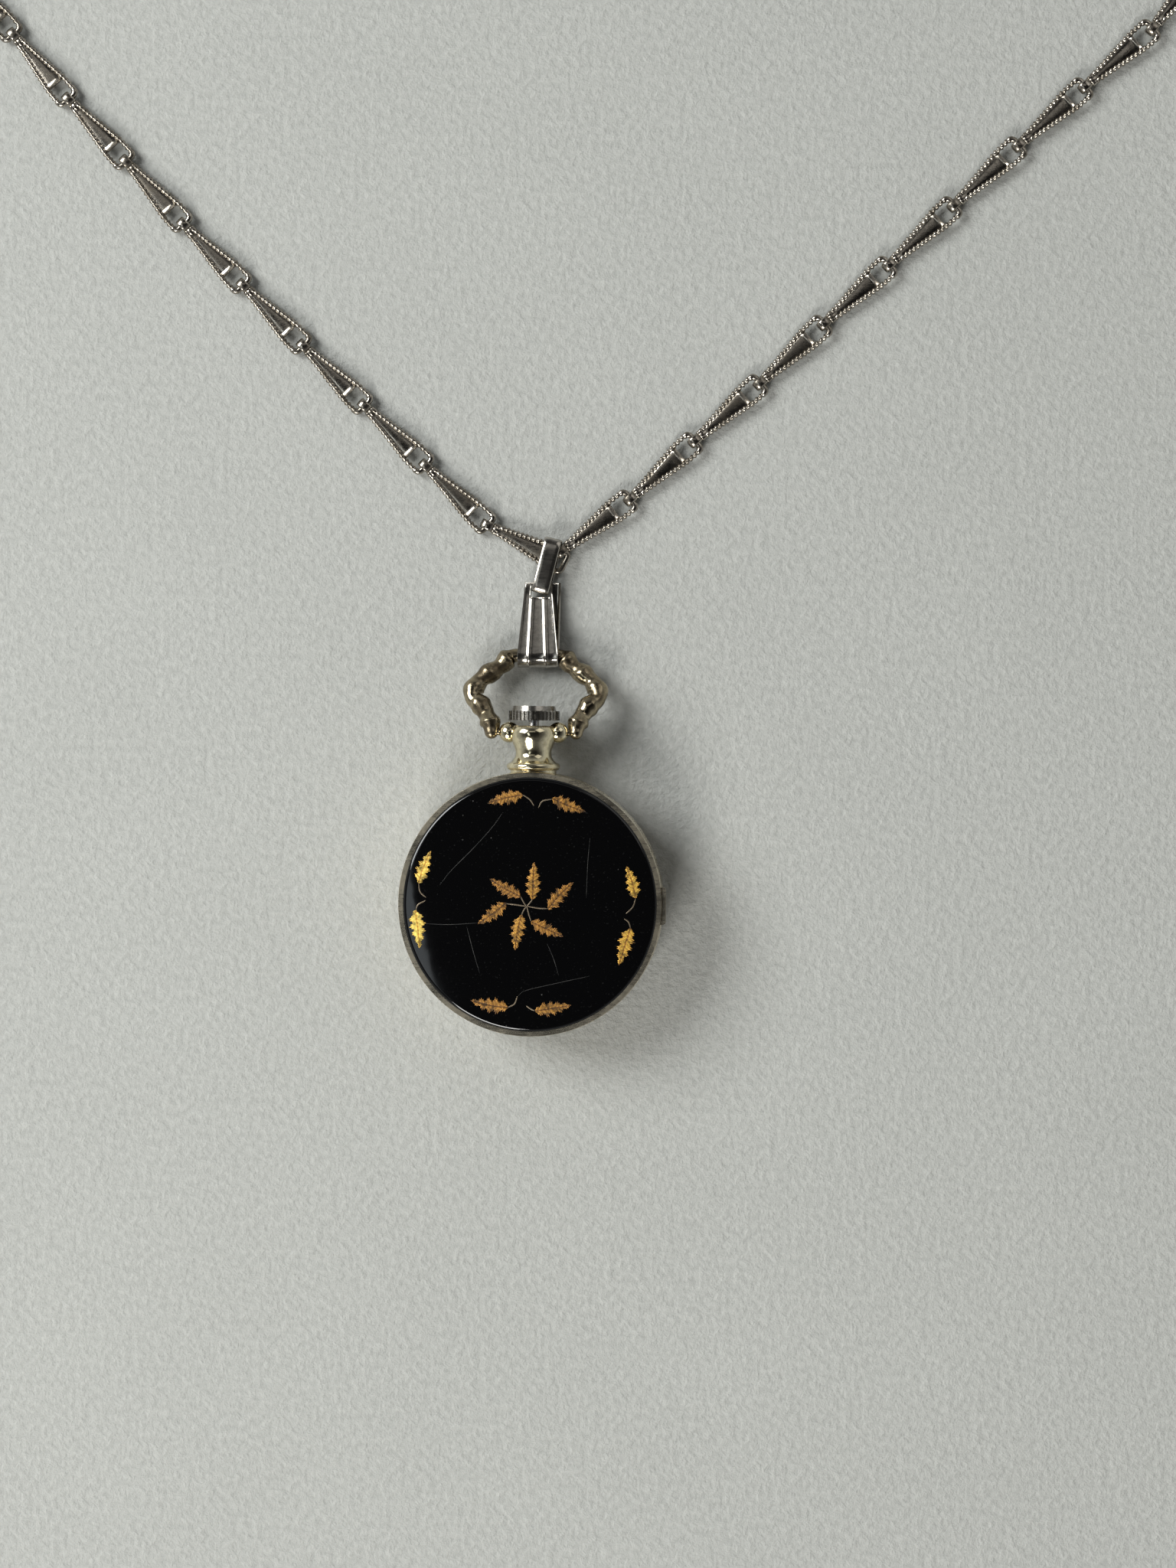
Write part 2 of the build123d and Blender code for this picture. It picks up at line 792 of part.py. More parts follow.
def pendant_neck():
    """The tube for the stem: a bead at the band, a waist, a cup and two ball ears for the bow."""
    bead = neck_bead_round
    outline = Polyline(
        (stem_radius + stem_gap, neck_bead_start), (neck_bead_radius - bead, neck_bead_start),
        (neck_bead_radius - bead, neck_bead_end - 2 * bead),
    )
    outline = outline + ThreePointArc(
        (neck_bead_radius - bead, neck_bead_end - 2 * bead), (neck_bead_radius, neck_bead_end - bead),
        (neck_bead_radius - bead, neck_bead_end),
    )
    outline = outline + Spline(
        (neck_bead_radius - bead, neck_bead_end), (neck_waist_radius, neck_waist_place),
        (neck_cup_radius, neck_cup_place), (neck_top_radius, neck_top),
    )
    outline = outline + Polyline(
        (neck_top_radius, neck_top), (stem_radius + stem_gap, neck_top),
        (stem_radius + stem_gap, neck_bead_start),
    )
    body = Pos(0, 0, stem_z) * revolve(make_face(outline), Axis.Y)
    bore = along_stem(stem_radius + stem_gap, 0, neck_top + cut_over)
    for side in (-1, 1):
        ball = Rot(0, 0, side * quarter_turn) * Sphere(ear_radius)
        body = body + Pos(side * ear_offset, ear_place, stem_z) * ball
    for side in (-1, 1):
        start = side * (bow_pin_inset - bow_pin_gap)
        hole = extrude(Circle(bow_pin_radius + bow_pin_gap), ear_radius + cut_over)
        body = body - Pos(start, ear_place, stem_z) * Rot(0, side * quarter_turn, 0) * hole
    return body - bore - band_blank()


def crown():
    """The winding crown: a fluted band and a smaller flat top, recessed for the gasket."""
    fluted = gear_outline(crown_flutes, crown_radius - crown_flute_depth / 2, crown_flute_depth, 0)
    body = Pos(0, crown_start, stem_z) * Rot(-quarter_turn, 0, 0) * extrude(
        fluted, crown_knurl_end - crown_start,
    )
    dome = crown_end - crown_knurl_end
    body = body + Pos(0, crown_knurl_end + dome / 2, stem_z) * Rot(-quarter_turn, 0, 0) * Cone(
        crown_radius - crown_flute_depth * 2, crown_top_radius, dome
    )
    body = body - along_stem(crown_recess_radius, crown_start - cut_over, crown_start + crown_recess_depth)
    return body - along_stem(stem_radius, crown_start, crown_start + crown_recess_depth + stem_grip)


def crown_gasket():
    """The seal in the crown's recess."""
    return along_stem(
        crown_recess_radius - snap_gap, crown_start + snap_gap, crown_start + snap_gap + gasket_thick,
        gasket_inner_radius,
    )


def winding_stem():
    """The stem from the crown to the pilot, with a groove for the setting lever."""
    body = along_stem(stem_radius, stem_step_place, crown_start + crown_recess_depth + stem_grip)
    body = body + along_stem(stem_step_radius, stem_pilot_end, stem_step_place)
    body = body + along_stem(stem_pilot_radius, stem_tip, stem_pilot_end)
    groove = along_stem(
        stem_step_radius + cut_over, stem_groove_place, stem_groove_place + stem_groove_width,
        stem_step_radius - stem_groove_depth,
    )
    return body - groove


def bow_points():
    """The bow's centreline in its own plane: across, and out from the pivots."""
    right = [(x * bow_half_width, v * bow_length) for x, v in bow_side_shares]
    return [(-x, v) for x, v in reversed(right)] + right


def bow():
    """The stirrup bow, a knobbly cast twig, with a pin at each end sprung into the neck's ears."""
    points = bow_points()
    path = Spline(*points)
    section = Plane(origin=path @ 0, z_dir=path % 0) * Circle(bow_wire_radius)
    body = sweep(section, path=path)
    for k in range(len(points)):
        if points[k][1] == bow_length:
            continue
        heading = direction(points[max(k - 1, 0)], points[min(k + 1, len(points) - 1)])
        along = Rot(0, 0, heading) * Rot(0, quarter_turn, 0)
        body = body + Pos(points[k][0], points[k][1], 0) * along * Sphere(bow_knob_radius)
    pin_length = points[-1][0] - bow_pin_inset
    for side in (-1, 1):
        pin = extrude(Circle(bow_pin_radius), pin_length)
        place = Pos(side * bow_pin_inset, 0, 0) * Rot(0, side * quarter_turn, 0)
        body = body + place * Rot(0, 0, bow_pin_seam) * pin
    return Pos(0, ear_place, stem_z) * Rot(-bow_droop, 0, 0) * body


bar_y = ear_place + bow_length * cos(radians(bow_droop))
bar_z = stem_z - bow_length * sin(radians(bow_droop))
slot_middle = bail_length - bail_slot_edge - bail_slot_height / 2


def bail_profile(extra):
    """The bail from the side: two legs and the fold round the bar, the front leg thicker by an extra."""
    outer = bail_inner_radius + bail_sheet
    top_outer = bail_top_half_gap + bail_sheet
    lines = Polyline(
        (0, 0, outer + extra), (0, bail_length, top_outer + extra), (0, bail_length, bail_top_half_gap),
        (0, 0, bail_inner_radius),
    )
    lines = lines + ThreePointArc(
        (0, 0, bail_inner_radius), (0, -bail_inner_radius, 0), (0, 0, -bail_inner_radius)
    )
    lines = lines + Polyline(
        (0, 0, -bail_inner_radius), (0, bail_length, -bail_top_half_gap), (0, bail_length, -top_outer),
        (0, 0, -outer),
    )
    lines = lines + ThreePointArc((0, 0, -outer), (0, -outer - extra / 2, 0), (0, 0, outer + extra))
    return make_face(lines)


def tapered_bail():
    """A strip folded round the bow, both legs slotted for the strap loop, two ridges down the front."""
    outer = bail_inner_radius + bail_sheet
    half = bail_bottom_width / 2
    strip = Pos(-bail_bottom_width, 0, 0) * extrude(bail_profile(0), 2 * bail_bottom_width, dir=(1, 0, 0))
    ribbed = Pos(-half, 0, 0) * extrude(bail_profile(bail_ridge_height), bail_bottom_width, dir=(1, 0, 0))
    front_half = bail_top_width / 2
    back_half = bail_back_top_width / 2
    low = -outer - cut_over
    front = plate(
        [(-half, low), (half, low), (half, 0), (front_half, bail_length), (-front_half, bail_length), (-half, 0)],
        0, outer + cut_over,
    )
    back = plate(
        [
            (-half, low), (half, low), (half, 0), (bail_back_shift + back_half, bail_length),
            (bail_back_shift - back_half, bail_length), (-half, 0),
        ],
        low, 0,
    )
    body = (strip & front) + (strip & back)
    for side in (-1, 1):
        bottom_x = side * bail_ridge_share * bail_bottom_width
        top_x = side * bail_ridge_share * bail_top_width
        w = bail_ridge_width / 2
        ridge = plate(
            [(bottom_x - w, 0), (bottom_x + w, 0), (top_x + w, bail_length), (top_x - w, bail_length)],
            0, outer + cut_over,
        )
        body = body + (ribbed & ridge)
    slot = block(
        bail_slot_offset - bail_slot_width / 2, bail_slot_offset + bail_slot_width / 2,
        slot_middle - bail_slot_height / 2, slot_middle + bail_slot_height / 2, low, outer + cut_over,
    )
    return bail_place * (body - slot)


bail_place = Pos(bail_offset, bar_y, bar_z) * Rot(-bail_tilt, 0, bail_turn)
strap_end = (bail_place * Pos(bail_slot_offset, slot_middle, 0)).position
strap_half_height = strap_inner_height / 2 + strap_sheet


def strap_loop():
    """A flat strap bent to a long loop through the bail's slots, for the chain to run through."""
    outer = RectangleRounded(strap_length, 2 * strap_half_height, strap_corner)
    inner = RectangleRounded(
        strap_length - 2 * strap_sheet, strap_inner_height, strap_corner - strap_sheet
    )
    band = extrude(outer - inner, strap_width / 2, both=True)
    lying = Rot(quarter_turn, 0, 0) * band
    centre = Pos(strap_length / 2 - strap_sheet / 2, 0, 0)
    place = Pos(strap_end.X, strap_end.Y, strap_half_height + snap_gap)
    return place * Rot(0, 0, quarter_turn - strap_lean) * centre * lying


def link_eye():
    """The folded eye round a bar that lies along Y at the origin."""
    outer = SlotOverall(
        2 * (link_eye_half_length + link_eye_sheet), 2 * (link_eye_half_height + link_eye_sheet)
    )
    inner = SlotOverall(2 * link_eye_half_length, 2 * link_eye_half_height)
    return Rot(quarter_turn, 0, 0) * extrude(outer - inner, link_narrow / 2, both=True)


def chain_link():
    """One link along +X: an eye at the origin, two rails on a thin panel, a square hole and an end bar."""
    wide = link_wide / 2
    narrow = link_narrow / 2
    hole_end = chain_pitch - link_bar_radius
    hole_start = hole_end - link_hole_length
    body = plate(
        [
            (link_body_start, narrow), (hole_start, wide), (chain_pitch, wide), (chain_pitch, -wide),
            (hole_start, -wide), (link_body_start, -narrow),
        ],
        -link_half_thick, link_half_thick,
    )
    inner = wide - link_rail
    inner_narrow = narrow / 3
    trough = [
        (link_body_start + link_rail, inner_narrow), (hole_start, inner),
        (hole_start, -inner), (link_body_start + link_rail, -inner_narrow),
    ]
    body = body - plate(trough, link_panel_half, link_half_thick + cut_over)
    body = body - plate(trough, -link_half_thick - cut_over, -link_panel_half)
    body = body - block(hole_start, hole_end, -inner, inner, -cut_over, cut_over)
    bar = Pos(chain_pitch, -wide, 0) * Rot(-quarter_turn, 0, 0) * extrude(Circle(link_bar_radius), link_wide)
    return body + bar + link_eye()


def link_at(template, start, heading, lift=0, rise=0):
    """A link whose eye is at a start point and whose wide end lies along a heading and a rise."""
    return Pos(start[0], start[1], link_height + lift) * Rot(0, 0, heading) * Rot(0, -rise, 0) * template


def steps(start, headings):
    """The points reached by stepping one pitch along each heading."""
    points = [start]
    for heading in headings:
        points.append(polar(points[-1], chain_pitch, heading))
    return points


def rear_run(first, turn, bent, last, straight):
    """Headings that go on turning alike, one for each link, and then run straight."""
    return [first + turn * (k + 1) for k in range(bent)] + [last] * straight


chain_start = (strap_end.X + strap_to_chain_x, strap_end.Y + strap_to_chain_y)
hook_along = chain_pitch - rail_hook_inset
pass_inner = polar(chain_start, hook_along * cos(radians(pass_rise)), pass_heading)
hook_point = polar(pass_inner, link_wide / 2 - link_rail / 2, pass_heading + quarter_turn)
hook_lift = hook_along * sin(radians(pass_rise))
left_all = left_headings + rear_run(left_headings[-1], rear_left_turn, rear_left_bent, 0, rear_left_straight)
right_all = right_headings + rear_run(
    right_headings[-1], rear_right_turn, rear_right_bent, half_turn, rear_right_straight
)
left_points = steps(chain_start, left_all)
right_points = steps(hook_point, right_all)


def left_group(template, first, last):
    """Links of the left strand: each has its eye outwards and its wide end towards the pendant."""
    found = []
    for k in range(first, last):
        found.append(link_at(template, left_points[k + 1], left_all[k] + half_turn))
    return Compound(children=found)


def right_group(template, first, last):
    """Links of the right strand: each has its eye towards the pendant and its wide end outwards."""
    found = []
    fall = -degrees(atan2(hook_lift, chain_pitch))
    for k in range(first, last):
        if k == 0:
            found.append(link_at(template, right_points[k], right_all[k], hook_lift, fall))
        else:
            found.append(link_at(template, right_points[k], right_all[k]))
    return Compound(children=found)


def clasp_frame():
    """Place and heading of the clasp, at the outer eye of the left strand's last link."""
    return Pos(left_points[-1][0], left_points[-1][1], link_height) * Rot(0, 0, left_all[-1])


clasp_eye_centre = clasp_eye_radius - clasp_eye_shift
clasp_centre = clasp_eye_centre + clasp_eye_radius + clasp_ring_radius + clasp_wire_radius / 2


def clasp_body():
    """The spring ring: a round tube with an open mouth, a bore for its bolt and an eye for the chain."""
    tube = Torus(clasp_ring_radius, clasp_wire_radius)
    mouth = plate(
        [(0, 0), polar((0, 0), 2 * clasp_ring_radius, 0), polar((0, 0), 2 * clasp_ring_radius, clasp_mouth_angle)],
        -clasp_ring_radius, clasp_ring_radius,
    )
    bore = Torus(clasp_ring_radius, clasp_bore_radius)
    reach = plate(
        [
            (0, 0), polar((0, 0), 2 * clasp_ring_radius, clasp_mouth_angle - bolt_start_angle),
            polar((0, 0), 4 * clasp_ring_radius, 2 * clasp_mouth_angle),
            polar((0, 0), 2 * clasp_ring_radius, 3 * clasp_mouth_angle),
        ],
        -clasp_ring_radius, clasp_ring_radius,
    )
    slot = plate(
        [
            polar((0, 0), clasp_ring_radius, clasp_mouth_angle),
            polar((0, 0), 2 * clasp_ring_radius, clasp_mouth_angle),
            polar((0, 0), 2 * clasp_ring_radius, slot_end_angle),
            polar((0, 0), clasp_ring_radius, slot_end_angle),
        ],
        -clasp_bore_radius, clasp_bore_radius,
    )
    body = Pos(clasp_centre, 0, 0) * (tube - mouth - (bore & reach) - slot)
    return clasp_frame() * (body + clasp_eye())


def clasp_eye():
    """The small loop that the last link's eye is closed on."""
    return Pos(clasp_eye_centre, 0, 0) * Torus(clasp_eye_radius, clasp_eye_wire)


def clasp_trigger():
    """The curved bolt inside the tube, with the knob that draws it back."""
    bolt = Torus(clasp_ring_radius, trigger_radius)
    reach = plate(
        [
            (0, 0), polar((0, 0), 2 * clasp_ring_radius, bolt_start_angle),
            polar((0, 0), 2 * clasp_ring_radius, bolt_end_angle),
        ],
        -clasp_ring_radius, clasp_ring_radius,
    )
    knob_at = polar((0, 0), clasp_ring_radius, knob_angle)
    knob = Pos(knob_at[0], knob_at[1], 0) * Rot(0, 0, knob_angle) * Rot(0, quarter_turn, 0) * extrude(
        Circle(trigger_radius), clasp_wire_radius + trigger_knob_reach
    )
    tip_at = polar((0, 0), clasp_ring_radius + clasp_wire_radius + trigger_knob_reach, knob_angle)
    tip = Pos(tip_at[0], tip_at[1], 0) * Sphere(trigger_knob_radius)
    return clasp_frame() * Pos(clasp_centre, 0, 0) * ((bolt & reach) + knob + tip)


def end_ring():
    """The tab on the right strand's last bar: an eye like a link's, a short neck and a flat ring."""
    ring_centre = link_eye_half_length + link_eye_sheet + end_ring_neck + end_ring_radius
    neck = block(
        link_eye_half_length + link_eye_sheet / 2, ring_centre - end_ring_radius,
        -end_ring_wire, end_ring_wire, -end_ring_wire, end_ring_wire,
    )
    body = link_eye() + neck + Pos(ring_centre, 0, 0) * Torus(end_ring_radius, end_ring_wire)
    return Pos(right_points[-1][0], right_points[-1][1], link_height) * Rot(0, 0, right_all[-1]) * body


def winding_pinion():
    """The pinion on the stem that drives the crown wheel."""
    face = gear_outline(
        winding_pinion_teeth, winding_pinion_radius, 2 * winding_tooth_height, quarter_turn, fill_share=0.24
    )
    face = face - Circle(stem_step_radius + pinion_bore_gap)
    start = winding_pinion_place - winding_pinion_width / 2
    return Pos(0, start, stem_z) * Rot(-quarter_turn, 0, 0) * extrude(face, winding_pinion_width)


def sliding_pinion():
    """The clutch pinion on the stem's square, grooved for the yoke."""
    end = winding_pinion_place - winding_pinion_width / 2 - gear_gap
    start = end - sliding_pinion_length
    body = along_stem(sliding_pinion_radius, start, end, stem_step_radius + pinion_bore_gap)
    middle = (start + end) / 2
    groove = along_stem(
        sliding_pinion_radius + cut_over, middle - sliding_groove_width / 2,
        middle + sliding_groove_width / 2,
        sliding_groove_radius,
    )
    return body - groove


crown_wheel_phase = quarter_turn + half_turn / crown_wheel_teeth
ratchet_phase = meshing(
    crown_wheel_teeth, crown_wheel_phase, direction(crown_wheel_at, barrel_at), ratchet_teeth,
)


def crown_wheel():
    """The wheel between the winding pinion and the ratchet wheel, its teeth reaching down to the pinion."""
    face = gear_outline(crown_wheel_teeth, crown_wheel_radius, 2 * winding_tooth_height, crown_wheel_phase)
    deep = face - Circle(crown_wheel_radius - 2 * winding_tooth_height)
    body = Pos(crown_wheel_at[0], crown_wheel_at[1], bridge_top - winding_mesh_depth) * extrude(
        deep, winding_thick + winding_mesh_depth
    )
    web = extrude(
        Circle(crown_wheel_radius - winding_tooth_height) - Circle(wheel_core_radius / 2), winding_thick,
    )
    return body + Pos(crown_wheel_at[0], crown_wheel_at[1], bridge_top + snap_gap) * web


def ratchet_wheel():
    """The wheel on the barrel arbor that the click holds."""
    face = gear_outline(ratchet_teeth, ratchet_radius, 2 * winding_tooth_height, ratchet_phase)
    face = face - Circle(barrel_arbor_radius)
    return Pos(barrel_at[0], barrel_at[1], bridge_top + snap_gap) * extrude(face, winding_thick)


nose_start = polar(click_at, click_radius, direction(click_at, barrel_at))
nose_length = (
    hypot(click_x - barrel_at[0], click_y - barrel_at[1]) - click_radius - ratchet_radius
    - winding_tooth_height - click_nose_gap
)


def click():
    """The pawl beside the ratchet wheel."""
    heading = direction(click_at, barrel_at)
    body = ring(click_radius, click_post_radius + pivot_gap, bridge_top + snap_gap, winding_top, click_at)
    half = click_nose_width / 2
    nose = block(-half, nose_length, -half, half, 0, winding_thick - snap_gap)
    return body + Pos(nose_start[0], nose_start[1], bridge_top + snap_gap) * Rot(0, 0, heading) * nose


def click_spring():
    """The wire spring behind the click."""
    outer = click_radius + window_gap + click_spring_width
    half_ring = ring(outer, outer - click_spring_width, bridge_top + snap_gap, winding_top, click_at)
    heading = direction(barrel_at, click_at)
    keep = Pos(click_x, click_y, 0) * Rot(0, 0, heading) * block(
        0, 2 * outer, -outer, outer, bridge_top, winding_top + cut_over
    )
    return half_ring & keep


def barrel_phase():
    """The phase of the barrel's teeth, in mesh with the centre pinion."""
    return meshing(centre_pinion_teeth, barrel_angle, barrel_angle, barrel_teeth)


barrel_floor = plate_top + barrel_lift
barrel_roof = barrel_floor + barrel_height
drum_radius = barrel_module * barrel_teeth / 2


def barrel_drum():
    """The open drum with the great wheel's teeth round its foot."""
    face = gear_outline(barrel_teeth, drum_radius, 2 * barrel_module * tooth_height_share, barrel_phase())
    foot = Pos(barrel_at[0], barrel_at[1], barrel_floor) * extrude(face, barrel_rim_height)
    wall = disc(drum_radius - barrel_wall, barrel_floor, barrel_roof, barrel_at)
    hollow = disc(drum_radius - 2 * barrel_wall, barrel_floor + barrel_lid, barrel_roof + cut_over, barrel_at)
    bore = disc(pivot_radius + 2 * pivot_gap + pivot_radius, barrel_floor - cut_over, barrel_roof, barrel_at)
    return foot + wall - hollow - bore


def barrel_cover():
    """The lid that closes the drum."""
    bottom = barrel_roof - barrel_lid
    return ring(
        drum_radius - 2 * barrel_wall, barrel_arbor_radius + pivot_gap, bottom, barrel_roof, barrel_at,
    )


def barrel_arbor():
    """The arbor that the mainspring is wound on."""
    body = disc(
        barrel_core_radius, barrel_floor + barrel_lid + gear_gap, barrel_roof - barrel_lid - gear_gap,
        barrel_at,
    )
    body = body + disc(barrel_arbor_radius, barrel_roof - barrel_lid - gear_gap, winding_top, barrel_at)
    lower = disc(pivot_radius, plate_top - jewel_thick, barrel_floor + barrel_lid + gear_gap, barrel_at)
    return body + lower


def spiral_strip(inner, outer, turns, strip, bottom, top, at):
    """A flat coiled strip whose radius grows evenly with its angle."""
    steps_per_turn = 12
    count = turns * steps_per_turn
    edges = []
    for side in (-1, 1):
        points = []
        for k in range(count + 1):
            radius = inner + (outer - inner) * k / count + side * strip / 2
            points.append(polar((0, 0), radius, k * full_turn / steps_per_turn))
        edges.append(Spline(*points))
    caps = [Line(edges[0] @ 0, edges[1] @ 0), Line(edges[0] @ 1, edges[1] @ 1)]
    face = make_face(edges[0] + edges[1] + caps[0] + caps[1])
    return Pos(at[0], at[1], bottom) * extrude(face, top - bottom)


def mainspring():
    """The spring coiled in the drum."""
    return spiral_strip(
        barrel_core_radius + mainspring_strip, drum_radius - 2 * barrel_wall - mainspring_strip,
        mainspring_turns,
        mainspring_strip, barrel_floor + barrel_lid + gear_gap, barrel_roof - barrel_lid - gear_gap,
        barrel_at,
    )


mainspring_strip = 0.1
mainspring_turns = 8


def centre_wheel():
    """The wheel at the middle; its arbor runs through the plate and carries the cannon pinion."""
    bottom = plate_top + high_level
    wheel = armed_wheel(centre_teeth, centre_module, third_angle, bottom, centre_at, centre_arbor_radius)
    leaves = pinion(
        centre_pinion_teeth, barrel_module, barrel_angle, plate_top + arbor_end_gap, bottom, centre_at
    )
    upper = disc(centre_arbor_radius, bottom, bridge_bottom - arbor_end_gap)
    pivot = disc(pivot_radius, bridge_bottom - arbor_end_gap, bridge_bottom + jewel_thick)
    lower = disc(centre_arbor_radius, plate_bottom + arbor_end_gap, plate_top + arbor_end_gap)
    post = disc(centre_post_radius, minute_hand_height - hand_thick, plate_bottom + arbor_end_gap)
    return leaves + wheel + upper + pivot + lower + post


def train_wheel(at, teeth, module, wheel_level, wheel_phase, leaf_teeth, leaf_module, leaf_phase, leaf_span):
    """A wheel and pinion on one arbor."""
    wheel = armed_wheel(teeth, module, wheel_phase, plate_top + wheel_level, at, arbor_radius)
    leaves = pinion(
        leaf_teeth, leaf_module, leaf_phase, plate_top + leaf_span[0], plate_top + leaf_span[1], at,
    )
    return arbor(at) + wheel + leaves


low_leaves = (low_level - gear_gap * 2, low_level + wheel_thick + gear_gap * 2)
middle_leaves = (middle_level - gear_gap * 4, middle_level + wheel_thick + gear_gap * 2)
high_leaves = (high_level - gear_gap * 2, high_level + wheel_thick + gear_gap * 2)
third_leaf_phase = meshing(centre_teeth, third_angle, third_angle, third_pinion_teeth)
fourth_leaf_phase = meshing(third_teeth, fourth_angle, fourth_angle, fourth_pinion_teeth)
escape_leaf_phase = meshing(fourth_teeth, escape_angle, escape_angle, escape_pinion_teeth)


def third_wheel():
    """Driven by the centre wheel, it drives the fourth."""
    return train_wheel(
        third_at, third_teeth, third_module, low_level, fourth_angle,
        third_pinion_teeth, centre_module, third_leaf_phase, high_leaves,
    )


def fourth_wheel():
    """Driven by the third wheel, it drives the escape wheel."""
    return train_wheel(
        fourth_at, fourth_teeth, fourth_module, middle_level, escape_angle,
        fourth_pinion_teeth, third_module, fourth_leaf_phase, low_leaves,
    )


def escape_wheel():
    """The wheel with pointed leaning teeth that the pallets let by one at a time."""
    pitch = full_turn / escape_teeth
    root = escape_radius * escape_root_share
    points = []
    for k in range(escape_teeth):
        angle = k * pitch
        points.append(polar((0, 0), root, angle))
        points.append(polar((0, 0), escape_radius, angle + pitch * escape_lean_share))
        points.append(polar((0, 0), root, angle + pitch * escape_lean_share))
    face = make_face(Polyline(*points, close=True)) - Circle(arbor_radius)
    window = Circle(root * wheel_rim_share) - Circle(root * 2 * wheel_hub_share)
    for k in range(arms):
        arm = Rectangle(root, root * wheel_arm_share, align=(Align.MIN, Align.CENTER))
        window = window - Rot(0, 0, k * full_turn / arms) * arm
    wheel = Pos(escape_at[0], escape_at[1], plate_top + low_level) * extrude(face - window, wheel_thick)
    leaves = pinion(
        escape_pinion_teeth, fourth_module, escape_leaf_phase,
        plate_top + middle_leaves[0], plate_top + middle_leaves[1], escape_at,
    )
    return arbor(escape_at) + wheel + leaves


def pallet_fork():
    """The lever with two pallet stones towards the escape wheel and a fork towards the balance."""
    towards = direction(pallet_at, escape_at)
    bottom = plate_top + low_level
    top = bottom + wheel_thick
    reach = escape_radius + pallet_stone_gap
    half = pallet_arm_width / 2
    lower = disc(pivot_radius, plate_top - jewel_thick, bottom, pallet_at)
    body = lower + disc(pallet_arm_width, bottom, top, pallet_at)
    body = body + disc(pivot_radius, top, top + arbor_end_gap + pallet_bridge_thick, pallet_at)
    for side in (-1, 1):
        contact = polar(escape_at, reach + half, towards + half_turn + side * pallet_half_span / 2)
        far = polar(
            escape_at, reach + pallet_arm_width * 2, towards + half_turn + side * pallet_half_span / 2,
        )
        arm_length = hypot(far[0] - pallet_at[0], far[1] - pallet_at[1])
        arm = block(0, arm_length, -half, half, 0, wheel_thick)
        body = body + Pos(pallet_at[0], pallet_at[1], bottom) * Rot(0, 0, direction(pallet_at, far)) * arm
        stone = block(-half, pallet_arm_width * 2 - half, -half, half, 0, wheel_thick)
        body = body + Pos(contact[0], contact[1], bottom) * Rot(0, 0, direction(contact, far)) * stone
    fork_length = hypot(balance_x - pallet_at[0], balance_y - pallet_at[1]) - roller_radius
    fork = block(0, fork_length, -half, half, 0, wheel_thick)
    notch = block(fork_length - pallet_arm_width, fork_length + cut_over, -half / 2, half / 2, 0, wheel_thick)
    return body + Pos(pallet_at[0], pallet_at[1], bottom) * Rot(0, 0, towards + half_turn) * (fork - notch)


def pallet_bridge():
    """The small cock over the pallet arbor."""
    bottom = plate_top + low_level + wheel_thick + arbor_end_gap
    half = pallet_bridge_width / 2
    body = block(-half, half, -pallet_bridge_reach - half, half, bottom, bottom + pallet_bridge_thick)
    body = body + block(
        -half, half, -pallet_bridge_reach - half, half - pallet_bridge_reach, plate_top, bottom,
    )
    body = Pos(pallet_at[0], pallet_at[1], 0) * body
    return body - disc(jewel_radius, plate_top, bottom + pallet_bridge_thick + cut_over, pallet_at)


def balance_wheel():
    """The balance on its staff with a roller below the rim and a collet above it."""
    bottom = plate_top + balance_level
    face = Circle(balance_radius) - Circle(balance_radius - balance_rim)
    face = face + Rectangle(2 * balance_radius - balance_rim, balance_arm) + Circle(2 * balance_arm)
    body = Pos(balance_x, balance_y, bottom) * extrude(face, balance_thick)
    body = body + arbor(balance_at)
    body = body + disc(collet_radius, bottom, plate_top + hairspring_level + hairspring_height, balance_at)
    roller_bottom = plate_top + low_level + wheel_thick + gear_gap * 2
    body = body + disc(roller_radius, roller_bottom, roller_bottom + roller_thick, balance_at)
    pin_at = polar(balance_at, roller_radius - 2 * impulse_radius, direction(balance_at, pallet_at))
    return body + disc(impulse_radius, plate_top + low_level, roller_bottom, pin_at)


def hairspring():
    """The balance's flat spiral spring and its stud."""
    bottom = plate_top + hairspring_level
    coil = spiral_strip(
        hairspring_start + hairspring_strip, hairspring_end, hairspring_turns, hairspring_strip,
        bottom, bottom + hairspring_height, balance_at,
    )
    stud_at = polar(balance_at, hairspring_end, 0)
    return coil + disc(2 * hairspring_strip, bottom, bridge_bottom, stud_at)


low_motion = dial_top + motion_room * low_motion_share
low_motion_end = dial_top + motion_room * low_motion_end_share
high_motion = dial_top + motion_room * high_motion_share
high_motion_end = dial_top + motion_room * high_motion_end_share
minute_wheel_phase = meshing(cannon_teeth, minute_wheel_angle, minute_wheel_angle, minute_wheel_teeth)


def cannon_pinion():
    """The friction tube on the centre arbor that carries the minute hand."""
    leaves = pinion(cannon_teeth, cannon_module, minute_wheel_angle, high_motion, high_motion_end, centre_at)
    tube = disc(cannon_tube_radius, minute_hand_height, high_motion_end)
    return leaves + tube - disc(cannon_bore, 0, plate_top)


def minute_wheel():
    """The wheel between the cannon pinion and the hour wheel, with its small pinion."""
    radius = cannon_module * minute_wheel_teeth / 2
    face = gear_outline(
        minute_wheel_teeth, radius, 2 * cannon_module * tooth_height_share, minute_wheel_phase
    )
    wheel = Pos(minute_wheel_at[0], minute_wheel_at[1], high_motion) * extrude(
        face, high_motion_end - high_motion,
    )
    leaves = pinion(
        minute_pinion_teeth, hour_module, minute_wheel_angle + half_turn, low_motion, high_motion,
        minute_wheel_at
    )
    return wheel + leaves - disc(post_radius + pivot_gap, dial_top, plate_bottom, minute_wheel_at)


